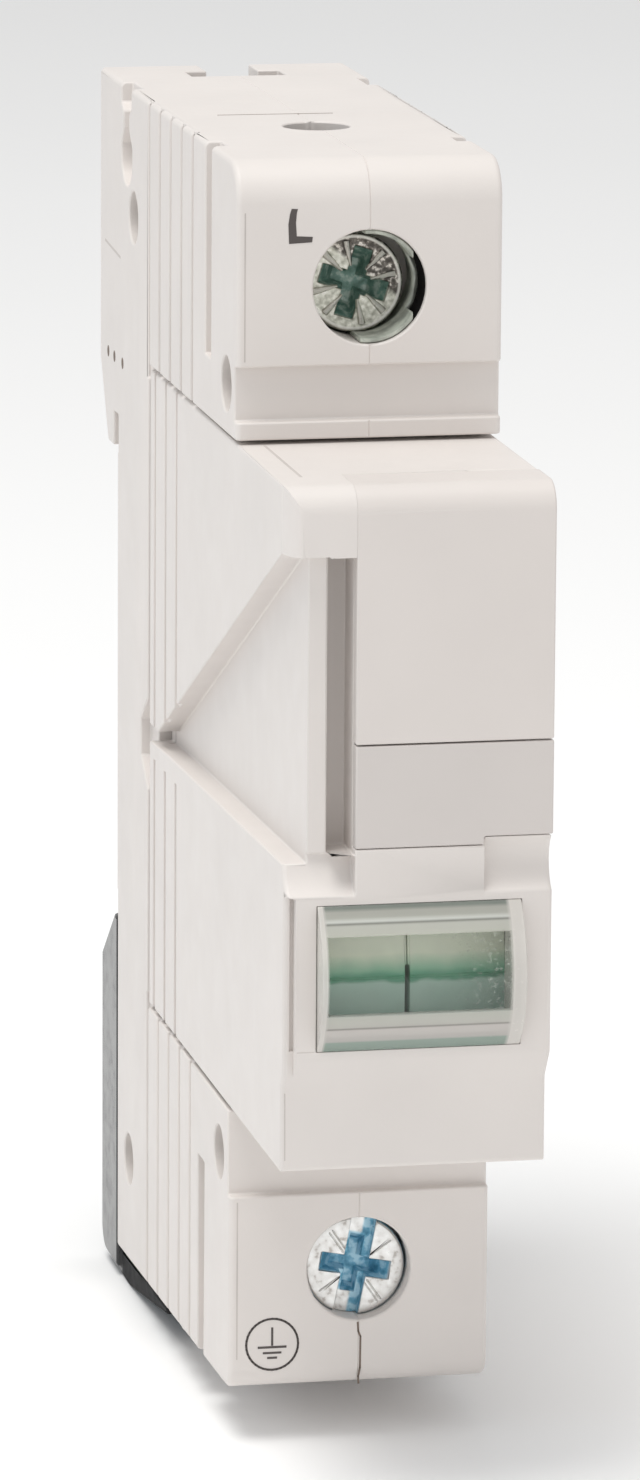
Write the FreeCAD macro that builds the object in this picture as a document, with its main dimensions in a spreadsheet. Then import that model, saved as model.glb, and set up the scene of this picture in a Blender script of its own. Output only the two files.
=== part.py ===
import FreeCAD, Part
import os
import re
import Sketcher

# One-pole pluggable surge protective device for a 35 mm rail: a riveted base in two half shells,
# two screw terminals, a black rail clip, and a plug-in module with two varistors and two flags.
# Frame: X to the right, Y to the back, Z up. X = 0 is the plane where the half shells meet,
# Y = 0 is the face that seats on the rail, and Z = 0 is the middle of the rail.

doc = FreeCAD.newDocument("surge_protective_device")
sheet = doc.addObject("Spreadsheet::Sheet", "Dims")

SIZES = {
    # base shells
    "width": 18.0,
    "shell_wall": 1.6,
    "head_room": 1.6,
    "bay_top": 25.0,
    "bay_floor": -21.3,
    "foot_room": 2.9,
    "foot_slope": 1.5,
    "upper_front": -45.0,
    "front_step": 1.3,
    "bay_back": -12.2,
    "front_round": 2.8,
    "foot_round": 1.6,
    "corner_round": 0.4,
    "seam_bevel": 0.06,
    # rail seat and hook
    "rail_height": 35.0,
    "seat_rise": 0.25,
    "seat_inset": 2.0,
    "seat_gap": 0.2,
    "rail_lip": 1.0,
    "lip_gap": 0.7,
    "lip_reach": 1.9,
    "hook_hold": 0.6,
    "hook_tip": 2.2,
    "hook_back": 7.4,
    "hook_taper": 6.1,
    "slot_stem": 3.7,
    "slot_bar": 6.8,
    "slot_bar_front": 1.1,
    "slot_bar_back": 4.0,
    "slot_drop": 9.0,
    # marks moulded in the sides and the fronts
    "groove": 0.8,
    "groove_depth": 0.35,
    "groove_pitch": 4.12,
    "base_groove_setback": 0.1,
    "base_grooves": 5,
    "wide_groove": 2.3,
    "wide_groove_depth": 1.1,
    "upper_wide_groove": -34.7,
    "upper_wide_groove_end": 29.1,
    "lower_wide_groove": -33.1,
    "lower_wide_groove_end": -27.1,
    "tag_slot_depth": 0.9,
    "tag_slot_back": -1.3,
    "tag_slot_width": 4.0,
    "tag_slot_height": 5.1,
    "tag_slot_bulb": 2.0,
    "band_depth": 0.8,
    "band_rise": 1.2,
    "band_height": 3.7,
    "lower_band_height": 5.9,
    "scoop_depth": 0.8,
    # rivets
    "rivet_hole": 1.05,
    "rivet_shank": 1.0,
    "rivet_well": 1.88,
    "rivet_head": 1.7,
    "rivet_head_height": 0.8,
    "rivet_sink": 2.6,
    "rivet_boss": 2.75,
    # terminals
    "upper_well": 3.85,
    "lower_well": 3.6,
    "well_wall": 1.2,
    "upper_head_sink": 3.8,
    "lower_head_sink": 1.1,
    "head_radius": 3.25,
    "head_height": 2.4,
    "head_gap": 0.05,
    "head_slot": 0.9,
    "head_slot_depth": 1.0,
    "cross_width": 1.3,
    "cross_reach": 2.0,
    "cross_depth": 1.7,
    "shank_radius": 2.45,
    "shank_gap": 0.08,
    "shank_reach": 2.2,
    "web": 1.1,
    "cage_setback": 10.4,
    "cage_length": 13.4,
    "cage_wall": 1.2,
    "cage_height": 10.4,
    "cage_room": 2.1,
    "lower_cage_room": 3.3,
    "cage_gap": 0.1,
    "cage_guide": 1.0,
    "cage_guide_height": 2.5,
    "cage_guide_pitch": 6.0,
    "wire_hole": 2.3,
    "wire_setback": 7.9,
    # contacts in the base
    "busbar": 1.2,
    "busbar_width": 6.0,
    "busbar_setback": 3.2,
    "busbar_end": 4.6,
    "busbar_leg": -2.9,
    "upper_contact": 14.0,
    "lower_contact": -10.0,
    "blade": 1.0,
    "blade_height": 7.0,
    "blade_tip_gap": 0.7,
    "blade_slot_gap": 0.5,
    "jaw": 0.8,
    "jaw_gap": 0.08,
    "jaw_setback": 2.2,
    "jaw_lip": 0.6,
    # rail clip
    "clip_gap": 0.3,
    "clip_back": 6.4,
    "clip_rest": 0.1,
    "clip_ramp": 3.9,
    "clip_drop": 1.6,
    "clip_round": 2.0,
    "clip_core": 2.2,
    "core_drop": 7.4,
    "tooth_width": 10.0,
    "tooth_rise": 1.9,
    "tooth_front": 1.3,
    "tooth_back": 4.5,
    "tab_front": -18.0,
    "tab_drop": 2.3,
    "tab_deepest": -3.0,
    "tab_nose": 0.6,
    "tab_side_gap": 0.4,
    "tab_slot_width": 6.0,
    "tab_slot": 1.6,
    "tab_slot_front": -13.4,
    "window_width": 5.4,
    "window_drop": 11.4,
    "window_rise": 2.7,
    "peg_width": 4.0,
    "peg_rise": 1.7,
    "peg_back": 5.0,
    "guide_width": 5.0,
    "guide_flange": 8.6,
    "guide_flange_front": -2.6,
    "guide_gap": 0.1,
    "guide_drop": 3.1,
    "guide_length": 5.4,
    "guide_room": 4.9,
    "clip_spring_radius": 1.75,
    "clip_spring_wire": 0.3,
    "clip_spring_axis": 3.3,
    "clip_spring_turns": 4,
    # plug-in module
    "side_gap": 0.1,
    "module_gap": 0.3,
    "module_wall": 1.4,
    "module_front": -62.2,
    "chin_step": 1.4,
    "module_round": 1.8,
    "cover": 1.2,
    "cover_setback": 0.8,
    "recess_depth": 1.6,
    "recess_floor": 1.3,
    "recess_drop": 4.8,
    "recess_setback": 2.0,
    "recess_low": -0.2,
    "recess_ledge_setback": 6.8,
    "recess_ledge": -1.6,
    "recess_apex_setback": 3.3,
    "recess_apex": -0.7,
    "recess_exit": -2.0,
    "pan_setback": 1.2,
    "corner_cut": 1.2,
    "corner_cut_depth": 2.2,
    "cover_groove_setback": 2.1,
    "cover_groove_low": -3.0,
    "cover_grooves": 3,
    "slot_width": 1.7,
    "block_wall": 1.2,
    "slot_length": 9.6,
    "slot_floor": 0.4,
    "panel": 1.1,
    "joint": 0.05,
    "panel_split": 7.7,
    "panel_low": 0.8,
    "panel_right_low": 1.4,
    "panel_reach": 5.2,
    "cove_depth": 1.5,
    "cove_bow": 0.35,
    "trough": 0.95,
    "frame_top": -2.3,
    "frame_low": -13.3,
    "frame_inset": 0.85,
    "frame_depth": 1.9,
    "frame_round": 0.9,
    "chin_low": -15.3,
    "frame_side": 1.75,
    "lens_top": -2.9,
    "lens_low": -12.6,
    "lens_bulge": 2.1,
    "lens_wall": 0.9,
    "lens_lip": 0.4,
    "lens_lip_depth": 0.6,
    "guide_rib": 1.8,
    "guide_rib_height": 0.8,
    "guide_rib_front": -42.0,
    "guide_rib_gap": 0.3,
    "guide_rib_wall": 1.2,
    # inside the module
    "pan_gap": 0.8,
    "varistor_setback": 4.0,
    "varistor_room": 6.2,
    "varistor_drop": 5.4,
    "varistor_low": -8.4,
    "varistor_round": 2.0,
    "electrode": 0.5,
    "electrode_margin": 1.4,
    "solder_tab_low": 4.0,
    "solder_tab_high": 8.0,
    "strip": 0.4,
    "strip_width": 2.0,
    "strip_setback": 1.4,
    "strip_drop": 3.1,
    "yoke": 1.0,
    "yoke_setback": 5.0,
    "tail_setback": 2.4,
    "cradle": 1.6,
    "cradle_front": -40.0,
    "cradle_rear": -26.0,
    "flag_setback": 4.3,
    "flag": 1.0,
    "flag_bulge": 0.8,
    "flag_top": -4.6,
    "flag_low": -10.9,
    "flag_split": 0.15,
    "flag_gap": 0.6,
    "flag_arm": 1.2,
    "flag_travel": 6.8,
    "stem_setback": 2.9,
    "stem_depth": 2.1,
    "stem_inner": 0.35,
    "stem_gap": 0.2,
    "stem_top": 11.0,
    "nose": 2.3,
    "trip_spring_drop": 4.0,
    "trip_spring_radius": 0.85,
    "trip_spring_wire": 0.2,
    "trip_spring_turns": 4,
    "back_plate_setback": 1.5,
    "back_plate": 0.6,
    "back_plate_top": -3.2,
    "back_plate_slot": 1.9,
    "back_plate_slot_low": -13.0,
}

# Sizes that follow from the others, worked out in the sheet itself
TIED = {
    # base: the cages set the heights, and the front sets the depths
    "upper_terminal": "bay_top + shell_wall + busbar + cage_room + cage_height / 2",
    "base_top": "upper_terminal + cage_height / 2 + head_room + shell_wall",
    "lower_terminal": "bay_floor - shell_wall - busbar - lower_cage_room - cage_height / 2",
    "foot_rear": "lower_terminal - cage_height / 2 - foot_room - shell_wall",
    "foot_front": "foot_rear + foot_slope",
    "lower_front": "upper_front + front_step",
    "seat_low": "seat_inset - rail_height / 2",
    "seat_top": "rail_height / 2 - hook_hold - seat_gap",
    "tag_slot_low": "base_top - tag_slot_height",
    "upper_band_low": "bay_top + band_rise",
    "upper_band_high": "upper_band_low + band_height",
    "lower_band_low": "bay_floor - lower_band_height",
    "base_groove_first": "bay_back - base_groove_setback",
    # terminals and contacts
    "cage_front": "upper_front + cage_setback",
    "cage_width": "width - 2 * (shell_wall + cage_guide_height + cage_gap)",
    "cage_guide_back": "cage_front + cage_length + cage_wall",
    "shank_tip": "cage_front + shank_reach",
    "wire_depth": "cage_front + wire_setback",
    "busbar_front": "cage_front + busbar_setback",
    "blade_tip": "busbar_leg - busbar - jaw - blade_tip_gap",
    "jaw_front": "bay_back + jaw_setback",
    # rail clip
    "clip_top": "-rail_height / 2 - clip_rest",
    "clip_foot": "foot_rear - clip_drop",
    "clip_core_top": "clip_top - core_drop",
    "tab_low": "foot_rear - tab_drop",
    "window_top": "clip_top - window_drop",
    "window_low": "clip_foot + window_rise",
    "peg_top": "window_low + peg_rise",
    "guide_top": "clip_top - guide_drop",
    "guide_slot_low": "guide_top - guide_length - guide_room",
    # module, outside
    "logo_front": "module_front + chin_step",
    "recess_top": "bay_top - recess_drop",
    "recess_top_depth": "module_front + recess_setback",
    "recess_ledge_depth": "bay_back - recess_ledge_setback",
    "recess_apex_depth": "bay_back - recess_apex_setback",
    "pan_front": "module_front + pan_setback",
    "cover_groove_first": "bay_back - cover_groove_setback",
    "pan_half": "width / 2 - side_gap - recess_depth - recess_floor",
    "block_half": "pan_half - slot_width",
    "slot_end": "module_front + slot_length",
    "frame_half": "width / 2 - frame_inset",
    "lens_half": "frame_half - frame_side",
    # module, inside
    "chamber_front": "slot_end + block_wall",
    "strip_front": "chamber_front + strip_setback",
    "strip_top": "bay_top - strip_drop",
    "varistor": "pan_half - pan_gap - electrode - blade / 2",
    "varistor_front": "strip_front + varistor_setback",
    "varistor_back": "bay_back - varistor_room",
    "varistor_top": "bay_top - varistor_drop",
    "yoke_front": "bay_back - yoke_setback",
    "tail_joint": "bay_back - tail_setback",
    "flag_front": "module_front + flag_setback",
    "flag_outer": "lens_half - flag_gap",
    "stem_front": "flag_front + stem_setback",
    "stem_back": "stem_front + stem_depth",
    "stem_outer": "block_half - block_wall - stem_gap",
    "nose_back": "stem_back + nose",
    "trip_spring_top": "bay_top - trip_spring_drop",
    "back_plate_front": "flag_front + back_plate_setback",
}

rows = [(name, str(size)) for name, size in SIZES.items()]
rows += [(name, "=" + formula) for name, formula in TIED.items()]
for row, (name, content) in enumerate(rows, start=1):
    sheet.set(f"A{row}", name.replace("_", " "))
    sheet.set(f"B{row}", content)
    sheet.setAlias(f"B{row}", name)
    if name in TIED:
        doc.recompute()
doc.recompute()
NAMES = {name for name, content in rows}


def bind(text):
    """Turns the plain size names in a formula into references to the sheet."""
    return re.sub(r"[a-z][a-z_]*", lambda word: "Dims." * (word.group(0) in NAMES) + word.group(0), text)


def number(text):
    """The value of a formula of size names."""
    return float(sheet.evalExpression(bind(text)))


def tie(feature, path, text):
    """Sets a property from a formula of size names and keeps it bound to the sheet."""
    feature.setExpression(path, bind(text))


def new_body(label):
    body = doc.addObject("PartDesign::Body", label)
    body.Label = label
    return body


def plane_of(body, role):
    return next(item for item in body.Origin.OriginFeatures if item.Role == role)


# A level is measured along X, Y or Z. The sketch planes' own normals are +X, -Y and +Z.
PLANES = {"X": ("YZ_Plane", ""), "Y": ("XZ_Plane", "-"), "Z": ("XY_Plane", "")}


def new_sketch(body, axis, level, label):
    """An empty sketch square to an axis, at a level along it."""
    role, sign = PLANES[axis]
    sketch = body.newObject("Sketcher::SketchObject", body.Label + "_" + label)
    sketch.AttachmentSupport = [(plane_of(body, role), "")]
    sketch.MapMode = "FlatFace"
    tie(sketch, "AttachmentOffset.Base.z", f"{sign}({level})")
    return sketch


def pin_point(sketch, geometry, end, across, up):
    """Holds a point of a sketch at its two distances from the sketch's origin."""
    for kind, text, line in (("DistanceX", across, -2), ("DistanceY", up, -1)):
        if text == "0":
            sketch.addConstraint(Sketcher.Constraint("PointOnObject", geometry, end, line))
            continue
        distance = number(text)
        if distance < 0:
            rule = Sketcher.Constraint(kind, geometry, end, -1, 1, -distance)
            formula = f"-({text})"
        else:
            rule = Sketcher.Constraint(kind, -1, 1, geometry, end, distance)
            formula = text
        index = sketch.addConstraint(rule)
        tie(sketch, f"Constraints[{index}]", formula)


def draw_outline(sketch, corners):
    """A closed outline. Each corner is a pair of formulas, and a third one bows the side that
    follows the corner outwards by that much."""
    points = [FreeCAD.Vector(number(corner[0]), number(corner[1]), 0) for corner in corners]
    count = len(points)
    ends = []
    for index, corner in enumerate(corners):
        start, stop = points[index], points[(index + 1) % count]
        if len(corner) == 2:
            side = sketch.addGeometry(Part.LineSegment(start, stop), False)
            ends.append((side, 1, 2))
            continue
        outward = FreeCAD.Vector(stop.y - start.y, start.x - stop.x, 0).normalize()
        middle = (start + stop) * 0.5 + outward * number(corner[2])
        side = sketch.addGeometry(Part.Arc(start, middle, stop), False)
        forward = sketch.getPoint(side, 1).distanceToPoint(start) < 1e-6
        ends.append((side, 1, 2) if forward else (side, 2, 1))
    for index in range(count):
        side, _, stop = ends[index]
        following, start, _ = ends[(index + 1) % count]
        sketch.addConstraint(Sketcher.Constraint("Coincident", side, stop, following, start))
    for index, corner in enumerate(corners):
        side, start, _ = ends[index]
        pin_point(sketch, side, start, corner[0], corner[1])
    for index, corner in enumerate(corners):
        if len(corner) == 3:
            bow_side(sketch, ends[index][0], corner, corners[(index + 1) % count])


def bow_side(sketch, side, corner, following):
    """Holds a bowed side by its radius, which follows from its ends and its height."""
    across = f"(({following[0]}) - ({corner[0]}))"
    up = f"(({following[1]}) - ({corner[1]}))"
    height = f"abs({corner[2]})"
    radius = f"(({across}^2 + {up}^2) / 4 + {height}^2) / (2 * {height})"
    index = sketch.addConstraint(Sketcher.Constraint("Radius", side, number(radius)))
    tie(sketch, f"Constraints[{index}]", radius)


def draw_circle(sketch, across, up, radius):
    centre = FreeCAD.Vector(number(across), number(up), 0)
    circle = sketch.addGeometry(Part.Circle(centre, FreeCAD.Vector(0, 0, 1), number(radius)), False)
    pin_point(sketch, circle, 3, across, up)
    index = sketch.addConstraint(Sketcher.Constraint("Radius", circle, number(radius)))
    tie(sketch, f"Constraints[{index}]", radius)


def draw(sketch, *loops):
    """Draws each loop: a circle is three formulas, an outline is a list of corners."""
    for loop in loops:
        if isinstance(loop, tuple):
            draw_circle(sketch, *loop)
        else:
            draw_outline(sketch, loop)


def block(low_across, high_across, low_up, high_up):
    """The four corners of a rectangle."""
    return [(low_across, low_up), (high_across, low_up), (high_across, high_up), (low_across, high_up)]


def pad(body, label, axis, low, high, *loops):
    """Adds material between two levels along an axis."""
    start = high if axis == "Y" else low
    sketch = new_sketch(body, axis, start, label + "_sketch")
    draw(sketch, *loops)
    feature = body.newObject("PartDesign::Pad", body.Label + "_" + label)
    feature.Profile = sketch
    tie(feature, "Length", f"({high}) - ({low})")
    return feature


def pocket(body, label, axis, low, high, *loops):
    """Takes material away between two levels along an axis."""
    start = low if axis == "Y" else high
    sketch = new_sketch(body, axis, start, label + "_sketch")
    draw(sketch, *loops)
    feature = body.newObject("PartDesign::Pocket", body.Label + "_" + label)
    feature.Profile = sketch
    tie(feature, "Length", f"({high}) - ({low})")
    return feature


def repeat_along_depth(body, label, feature, count, pitch):
    """Copies a groove forwards, along -Y."""
    pattern = body.newObject("PartDesign::LinearPattern", body.Label + "_" + label)
    pattern.Originals = [feature]
    pattern.Direction = (plane_of(body, "Y_Axis"), [""])
    pattern.Reversed = True
    pattern.Mode = "Spacing"
    tie(pattern, "Offset", pitch)
    tie(pattern, "Occurrences", count)
    body.Tip = pattern
    return pattern


def dress_edges(body, kind, label, size, wanted):
    """Rounds or bevels the edges of a body that a test picks out."""
    doc.recompute()
    base = body.Tip
    names = [f"Edge{index}" for index, edge in enumerate(base.Shape.Edges, start=1) if wanted(edge)]
    if not names:
        raise RuntimeError(f"{body.Label}: no edge for {label}")
    feature = body.newObject("PartDesign::" + kind, body.Label + "_" + label)
    feature.Base = (base, names)
    tie(feature, "Radius" if kind == "Fillet" else "Size", size)
    return feature


def runs_along(edge, axis):
    """True for a straight edge along an axis given by its number, 0 to 2."""
    if edge.Curve.TypeId != "Part::GeomLine":
        return False
    direction = edge.Curve.Direction
    return abs(abs((direction.x, direction.y, direction.z)[axis]) - 1) < 1e-6


def lies_at(edge, **places):
    """True if both ends of an edge lie at the given x, y or z."""
    return all(
        abs(getattr(vertex.Point, name) - place) < 1e-4
        for name, place in places.items()
        for vertex in edge.Vertexes
    )


def mirror_of(body, label):
    """The same piece on the other side of X = 0."""
    twin = doc.addObject("Part::Mirroring", label)
    twin.Label = label
    twin.Source = body
    twin.Normal = (1, 0, 0)
    return twin


# Places that several pieces share
SHELL_IN = "-width / 2 + shell_wall"
SHELL_MID = "-width / 2 + shell_wall / 2"
LIP_BACK = "rail_lip + lip_gap"
LIP_TOP = "rail_height / 2 + lip_reach"
HOOK_LOW = "rail_height / 2 - hook_hold"
UPPER_WEB = "upper_front + upper_head_sink + head_height + head_gap"
LOWER_WEB = "lower_front + lower_head_sink + head_height + head_gap"
RIVETS = [
    ("bay_back + 6.0", "upper_terminal - 0.6"),
    ("upper_front + 3.7", "bay_top + 3.3"),
    ("bay_back + 7.4", "lower_terminal - 1.9"),
    ("lower_front + 4.0", "bay_floor - 3.7"),
]

# Base, left half shell: outer shape with the raised seat and the hook behind the rail's upper lip
shell = new_body("base_shell_left")
pad(shell, "outer", "X", "-width / 2", "0", [
    ("lower_front", "foot_front"),
    ("-seat_rise", "foot_rear"),
    ("-seat_rise", "seat_low"),
    ("0", "seat_low"),
    ("0", "seat_top"),
    ("-seat_rise", "seat_top"),
    ("-seat_rise", LIP_TOP),
    (LIP_BACK, LIP_TOP),
    (LIP_BACK, HOOK_LOW),
    (f"{LIP_BACK} + hook_tip", HOOK_LOW),
    ("hook_back", f"{HOOK_LOW} + hook_taper"),
    ("hook_back", "base_top"),
    ("upper_front", "base_top"),
    ("upper_front", "bay_top"),
    ("bay_back", "bay_top"),
    ("bay_back", "bay_floor"),
    ("lower_front", "bay_floor"),
])
side_x = -number("width / 2")
hook_y = number("hook_back")
upper_y = number("upper_front")
lower_y = number("lower_front")
top_z = number("base_top")
foot_z = number("foot_front")
dress_edges(shell, "Fillet", "front_top", "front_round", lambda edge: lies_at(edge, y=upper_y, z=top_z))
dress_edges(shell, "Fillet", "front_foot", "foot_round", lambda edge: lies_at(edge, y=lower_y, z=foot_z))
outer_places = [{"y": upper_y}, {"y": lower_y}, {"z": top_z}, {"y": hook_y}]
dress_edges(shell, "Fillet", "side_corners", "corner_round",
            lambda edge: any(lies_at(edge, x=side_x, **place) for place in outer_places))
dress_edges(shell, "Chamfer", "seam", "seam_bevel",
            lambda edge: any(lies_at(edge, x=0, **place) for place in outer_places[:3]))

# Hollow inside: terminal chambers above and below, joined by the space behind the bay
pocket(shell, "cavity", "X", SHELL_IN, "0", [
    ("lower_front + shell_wall", "foot_front + shell_wall"),
    ("-shell_wall", "foot_rear + shell_wall"),
    ("-shell_wall", "base_top - shell_wall"),
    ("upper_front + shell_wall", "base_top - shell_wall"),
    ("upper_front + shell_wall", "bay_top + shell_wall"),
    ("bay_back + shell_wall", "bay_top + shell_wall"),
    ("bay_back + shell_wall", "bay_floor - shell_wall"),
    ("lower_front + shell_wall", "bay_floor - shell_wall"),
])
pocket(shell, "hook_core", "X", SHELL_IN, "0", [
    (LIP_BACK, f"{LIP_TOP} + shell_wall"),
    (f"{LIP_BACK} + hook_tip", f"{LIP_TOP} + shell_wall"),
    ("hook_back - shell_wall", f"{HOOK_LOW} + hook_taper + shell_wall / 2"),
    ("hook_back - shell_wall", "base_top - slot_drop - shell_wall"),
    (LIP_BACK, "base_top - slot_drop - shell_wall"),
])

# Wells for the screw heads, the webs that carry the heads, and the bosses for the rivets
pad(shell, "upper_well_tube", "Y", "upper_front + shell_wall / 2", f"{UPPER_WEB} + web",
    ("0", "upper_terminal", "upper_well + well_wall"))
pad(shell, "lower_well_tube", "Y", "lower_front + shell_wall / 2", f"{LOWER_WEB} + web",
    ("0", "lower_terminal", "lower_well + well_wall"))
pad(shell, "upper_web", "Y", UPPER_WEB, f"{UPPER_WEB} + web",
    block(SHELL_MID, "0", "bay_top + shell_wall / 2", "base_top - shell_wall / 2"))
pad(shell, "lower_web", "Y", LOWER_WEB, f"{LOWER_WEB} + web",
    block(SHELL_MID, "0", "foot_front + shell_wall / 4", "bay_floor - shell_wall / 2"))
pad(shell, "rivet_bosses", "X", "-width / 2 + rivet_sink / 2", "0",
    *[(depth, height, "rivet_boss") for depth, height in RIVETS])
pocket(shell, "rivet_wells", "X", "-width / 2 - 1", "-width / 2 + rivet_sink",
       *[(depth, height, "rivet_well") for depth, height in RIVETS])
pocket(shell, "rivet_holes", "X", "-width / 2 + rivet_sink / 2", "0",
       *[(depth, height, "rivet_hole") for depth, height in RIVETS])
pocket(shell, "upper_well", "Y", "upper_front - 1", UPPER_WEB, ("0", "upper_terminal", "upper_well"))
pocket(shell, "lower_well", "Y", "lower_front - 1", LOWER_WEB, ("0", "lower_terminal", "lower_well"))
pocket(shell, "upper_shank_hole", "Y", f"{UPPER_WEB} - web", f"{UPPER_WEB} + 2 * web",
       ("0", "upper_terminal", "shank_radius + shank_gap"))
pocket(shell, "lower_shank_hole", "Y", f"{LOWER_WEB} - web", f"{LOWER_WEB} + 2 * web",
       ("0", "lower_terminal", "shank_radius + shank_gap"))

# Guides for the two cages, rests for the busbars, and tongues that the module slides along
guides = []
for terminal, web in (("upper_terminal", UPPER_WEB), ("lower_terminal", LOWER_WEB)):
    for sign in ("-", "+"):
        middle = f"{terminal} {sign} cage_guide_pitch / 2"
        low, high = f"{middle} - cage_guide / 2", f"{middle} + cage_guide / 2"
        guides.append(block(f"{web} + web / 2", "cage_guide_back", low, high))
pad(shell, "cage_guides", "X", SHELL_MID, "-cage_width / 2 - cage_gap", *guides)
pad(shell, "busbar_rests", "Y", "busbar_leg", "-shell_wall / 2",
    block(SHELL_MID, "0", "upper_contact - web", "upper_contact + web"),
    block(SHELL_MID, "0", "lower_contact - web", "lower_contact + web"))
pad(shell, "module_tongues", "Y", "guide_rib_front", "bay_back + shell_wall / 2",
    block("-guide_rib / 2", "0", "bay_top - guide_rib_height", "bay_top + shell_wall / 2"),
    block("-guide_rib / 2", "0", "bay_floor - shell_wall / 2", "bay_floor + guide_rib_height"))
pad(shell, "clip_peg", "Y", "-shell_wall / 2", "peg_back",
    block("-peg_width / 2", "0", "window_low + guide_gap", "peg_top"))

# Openings: wires, module blades, clip guide and the T-shaped slot in the top of the hook
WIRE = ("0", "wire_depth", "wire_hole")
pocket(shell, "upper_wire_hole", "Z", "base_top - 2 * shell_wall", "base_top + 1", WIRE)
pocket(shell, "lower_wire_hole", "Z", "foot_rear - 1", "foot_front + shell_wall", WIRE)
slots = []
for contact in ("upper_contact", "lower_contact"):
    low = f"{contact} - blade_height / 2 - blade_slot_gap"
    high = f"{contact} + blade_height / 2 + blade_slot_gap"
    slots.append(block("-blade / 2 - blade_slot_gap", "0", low, high))
pocket(shell, "blade_slots", "Y", "bay_back - 1", "bay_back + 2 * shell_wall", *slots)
pocket(shell, "clip_guide_slot", "Y", "-2 * shell_wall", "clip_gap",
       block("-guide_width / 2 - guide_gap", "0", "guide_slot_low", "guide_top + guide_gap"))
pocket(shell, "hook_slot", "Z", "base_top - slot_drop", "base_top + 1", [
    ("-slot_bar / 2", "slot_bar_front"),
    ("0", "slot_bar_front"),
    ("0", "hook_back + 1"),
    ("-slot_stem / 2", "hook_back + 1"),
    ("-slot_stem / 2", "slot_bar_back"),
    ("-slot_bar / 2", "slot_bar_back"),
])

# Grooves and marks in the side and the fronts
MARK = "-width / 2 + groove_depth"
first_groove = ("base_groove_first - groove / 2", "base_groove_first + groove / 2")
upper_groove = pocket(shell, "upper_groove", "X", "-width / 2 - 1", MARK,
                      block(*first_groove, "bay_top - 1", "base_top + 1"))
repeat_along_depth(shell, "upper_grooves", upper_groove, "base_grooves", "groove_pitch")
lower_groove = pocket(shell, "lower_groove", "X", "-width / 2 - 1", MARK,
                      block(*first_groove, "foot_rear - 1", "bay_floor + 1"))
repeat_along_depth(shell, "lower_grooves", lower_groove, "base_grooves", "groove_pitch")
pocket(shell, "wide_grooves", "X", "-width / 2 - 1", "-width / 2 + wide_groove_depth",
       block("upper_wide_groove - wide_groove / 2", "upper_wide_groove + wide_groove / 2",
             "upper_wide_groove_end", "base_top + 1"),
       block("lower_wide_groove - wide_groove / 2", "lower_wide_groove + wide_groove / 2",
             "foot_rear - 1", "lower_wide_groove_end"))
TAG_FRONT = "tag_slot_back - tag_slot_width"
pocket(shell, "tag_slot", "X", "-width / 2 - 1", "-width / 2 + tag_slot_depth", [
    ("tag_slot_back", "tag_slot_low"),
    ("tag_slot_back", "tag_slot_low + 0.8"),
    ("tag_slot_back - 0.9", "tag_slot_low + 2"),
    ("tag_slot_back - 0.9", "base_top - 1.9"),
    ("tag_slot_back", "base_top - 1.4"),
    ("tag_slot_back", "base_top + 1"),
    (TAG_FRONT, "base_top + 1"),
    (TAG_FRONT, "base_top - 1.4"),
    (f"{TAG_FRONT} + 0.9", "base_top - 1.9"),
    (f"{TAG_FRONT} + 0.9", "tag_slot_low + 2"),
    (f"{TAG_FRONT} - 0.4", "tag_slot_low + 0.8"),
    (f"{TAG_FRONT} - 0.4", "tag_slot_low", "tag_slot_bulb"),
])
pocket(shell, "scoop", "X", "-width / 2 - 1", "-width / 2 + scoop_depth", [
    ("bay_back - 1", "-5.5"),
    ("bay_back", "-5.5"),
    ("bay_back + 2.8", "-3.6"),
    ("bay_back + 2.8", "-0.9"),
    ("bay_back", "1.1"),
    ("bay_back - 1", "1.1"),
])
pocket(shell, "upper_band", "Y", "upper_front - 1", "upper_front + band_depth",
       block("-width / 2 - 1", "0", "upper_band_low", "upper_band_high"))
pocket(shell, "lower_band", "Y", "lower_front - 1", "lower_front + band_depth",
       block("-width / 2 - 1", "0", "lower_band_low", "bay_floor + 1"))

# Everything that reached across the seam is cut away there
pocket(shell, "seam_face", "X", "0", "width",
       block("upper_front - 2", "hook_back + 2", "tab_low", "base_top + 2"))
mirror_of(shell, "base_shell_right")

# Four rivets, sunk in the sides
rivets = new_body("shell_rivets")
shanks = [(depth, height, "rivet_shank") for depth, height in RIVETS]
heads = [(depth, height, "rivet_head") for depth, height in RIVETS]
SEAT = "(width / 2 - rivet_sink)"
pad(rivets, "shanks", "X", f"-{SEAT}", SEAT, *shanks)
pad(rivets, "left_heads", "X", f"-{SEAT} - rivet_head_height", f"-{SEAT}", *heads)
pad(rivets, "right_heads", "X", SEAT, f"{SEAT} + rivet_head_height", *heads)


def terminal_screw(label, web, terminal):
    """Combined slot and cross head that turns on its web, with the threaded shank behind it."""
    under = f"{web} - head_gap"
    face = f"{under} - head_height"
    screw = new_body(label)
    pad(screw, "shank", "Y", under, "shank_tip", ("0", terminal, "shank_radius"))
    pad(screw, "head", "Y", face, under, ("0", terminal, "head_radius"))
    pocket(screw, "slot", "Y", f"{face} - 1", f"{face} + head_slot_depth",
           block("-head_radius - 1", "head_radius + 1",
                 f"{terminal} - head_slot / 2", f"{terminal} + head_slot / 2"))
    pocket(screw, "cross_level", "Y", f"{face} - 1", f"{face} + cross_depth",
           block("-cross_reach", "cross_reach",
                 f"{terminal} - cross_width / 2", f"{terminal} + cross_width / 2"))
    pocket(screw, "cross_upright", "Y", f"{face} - 1", f"{face} + cross_depth",
           block("-cross_width / 2", "cross_width / 2",
                 f"{terminal} - cross_reach", f"{terminal} + cross_reach"))


terminal_screw("upper_terminal_screw", UPPER_WEB, "upper_terminal")
terminal_screw("lower_terminal_screw", LOWER_WEB, "lower_terminal")


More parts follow.
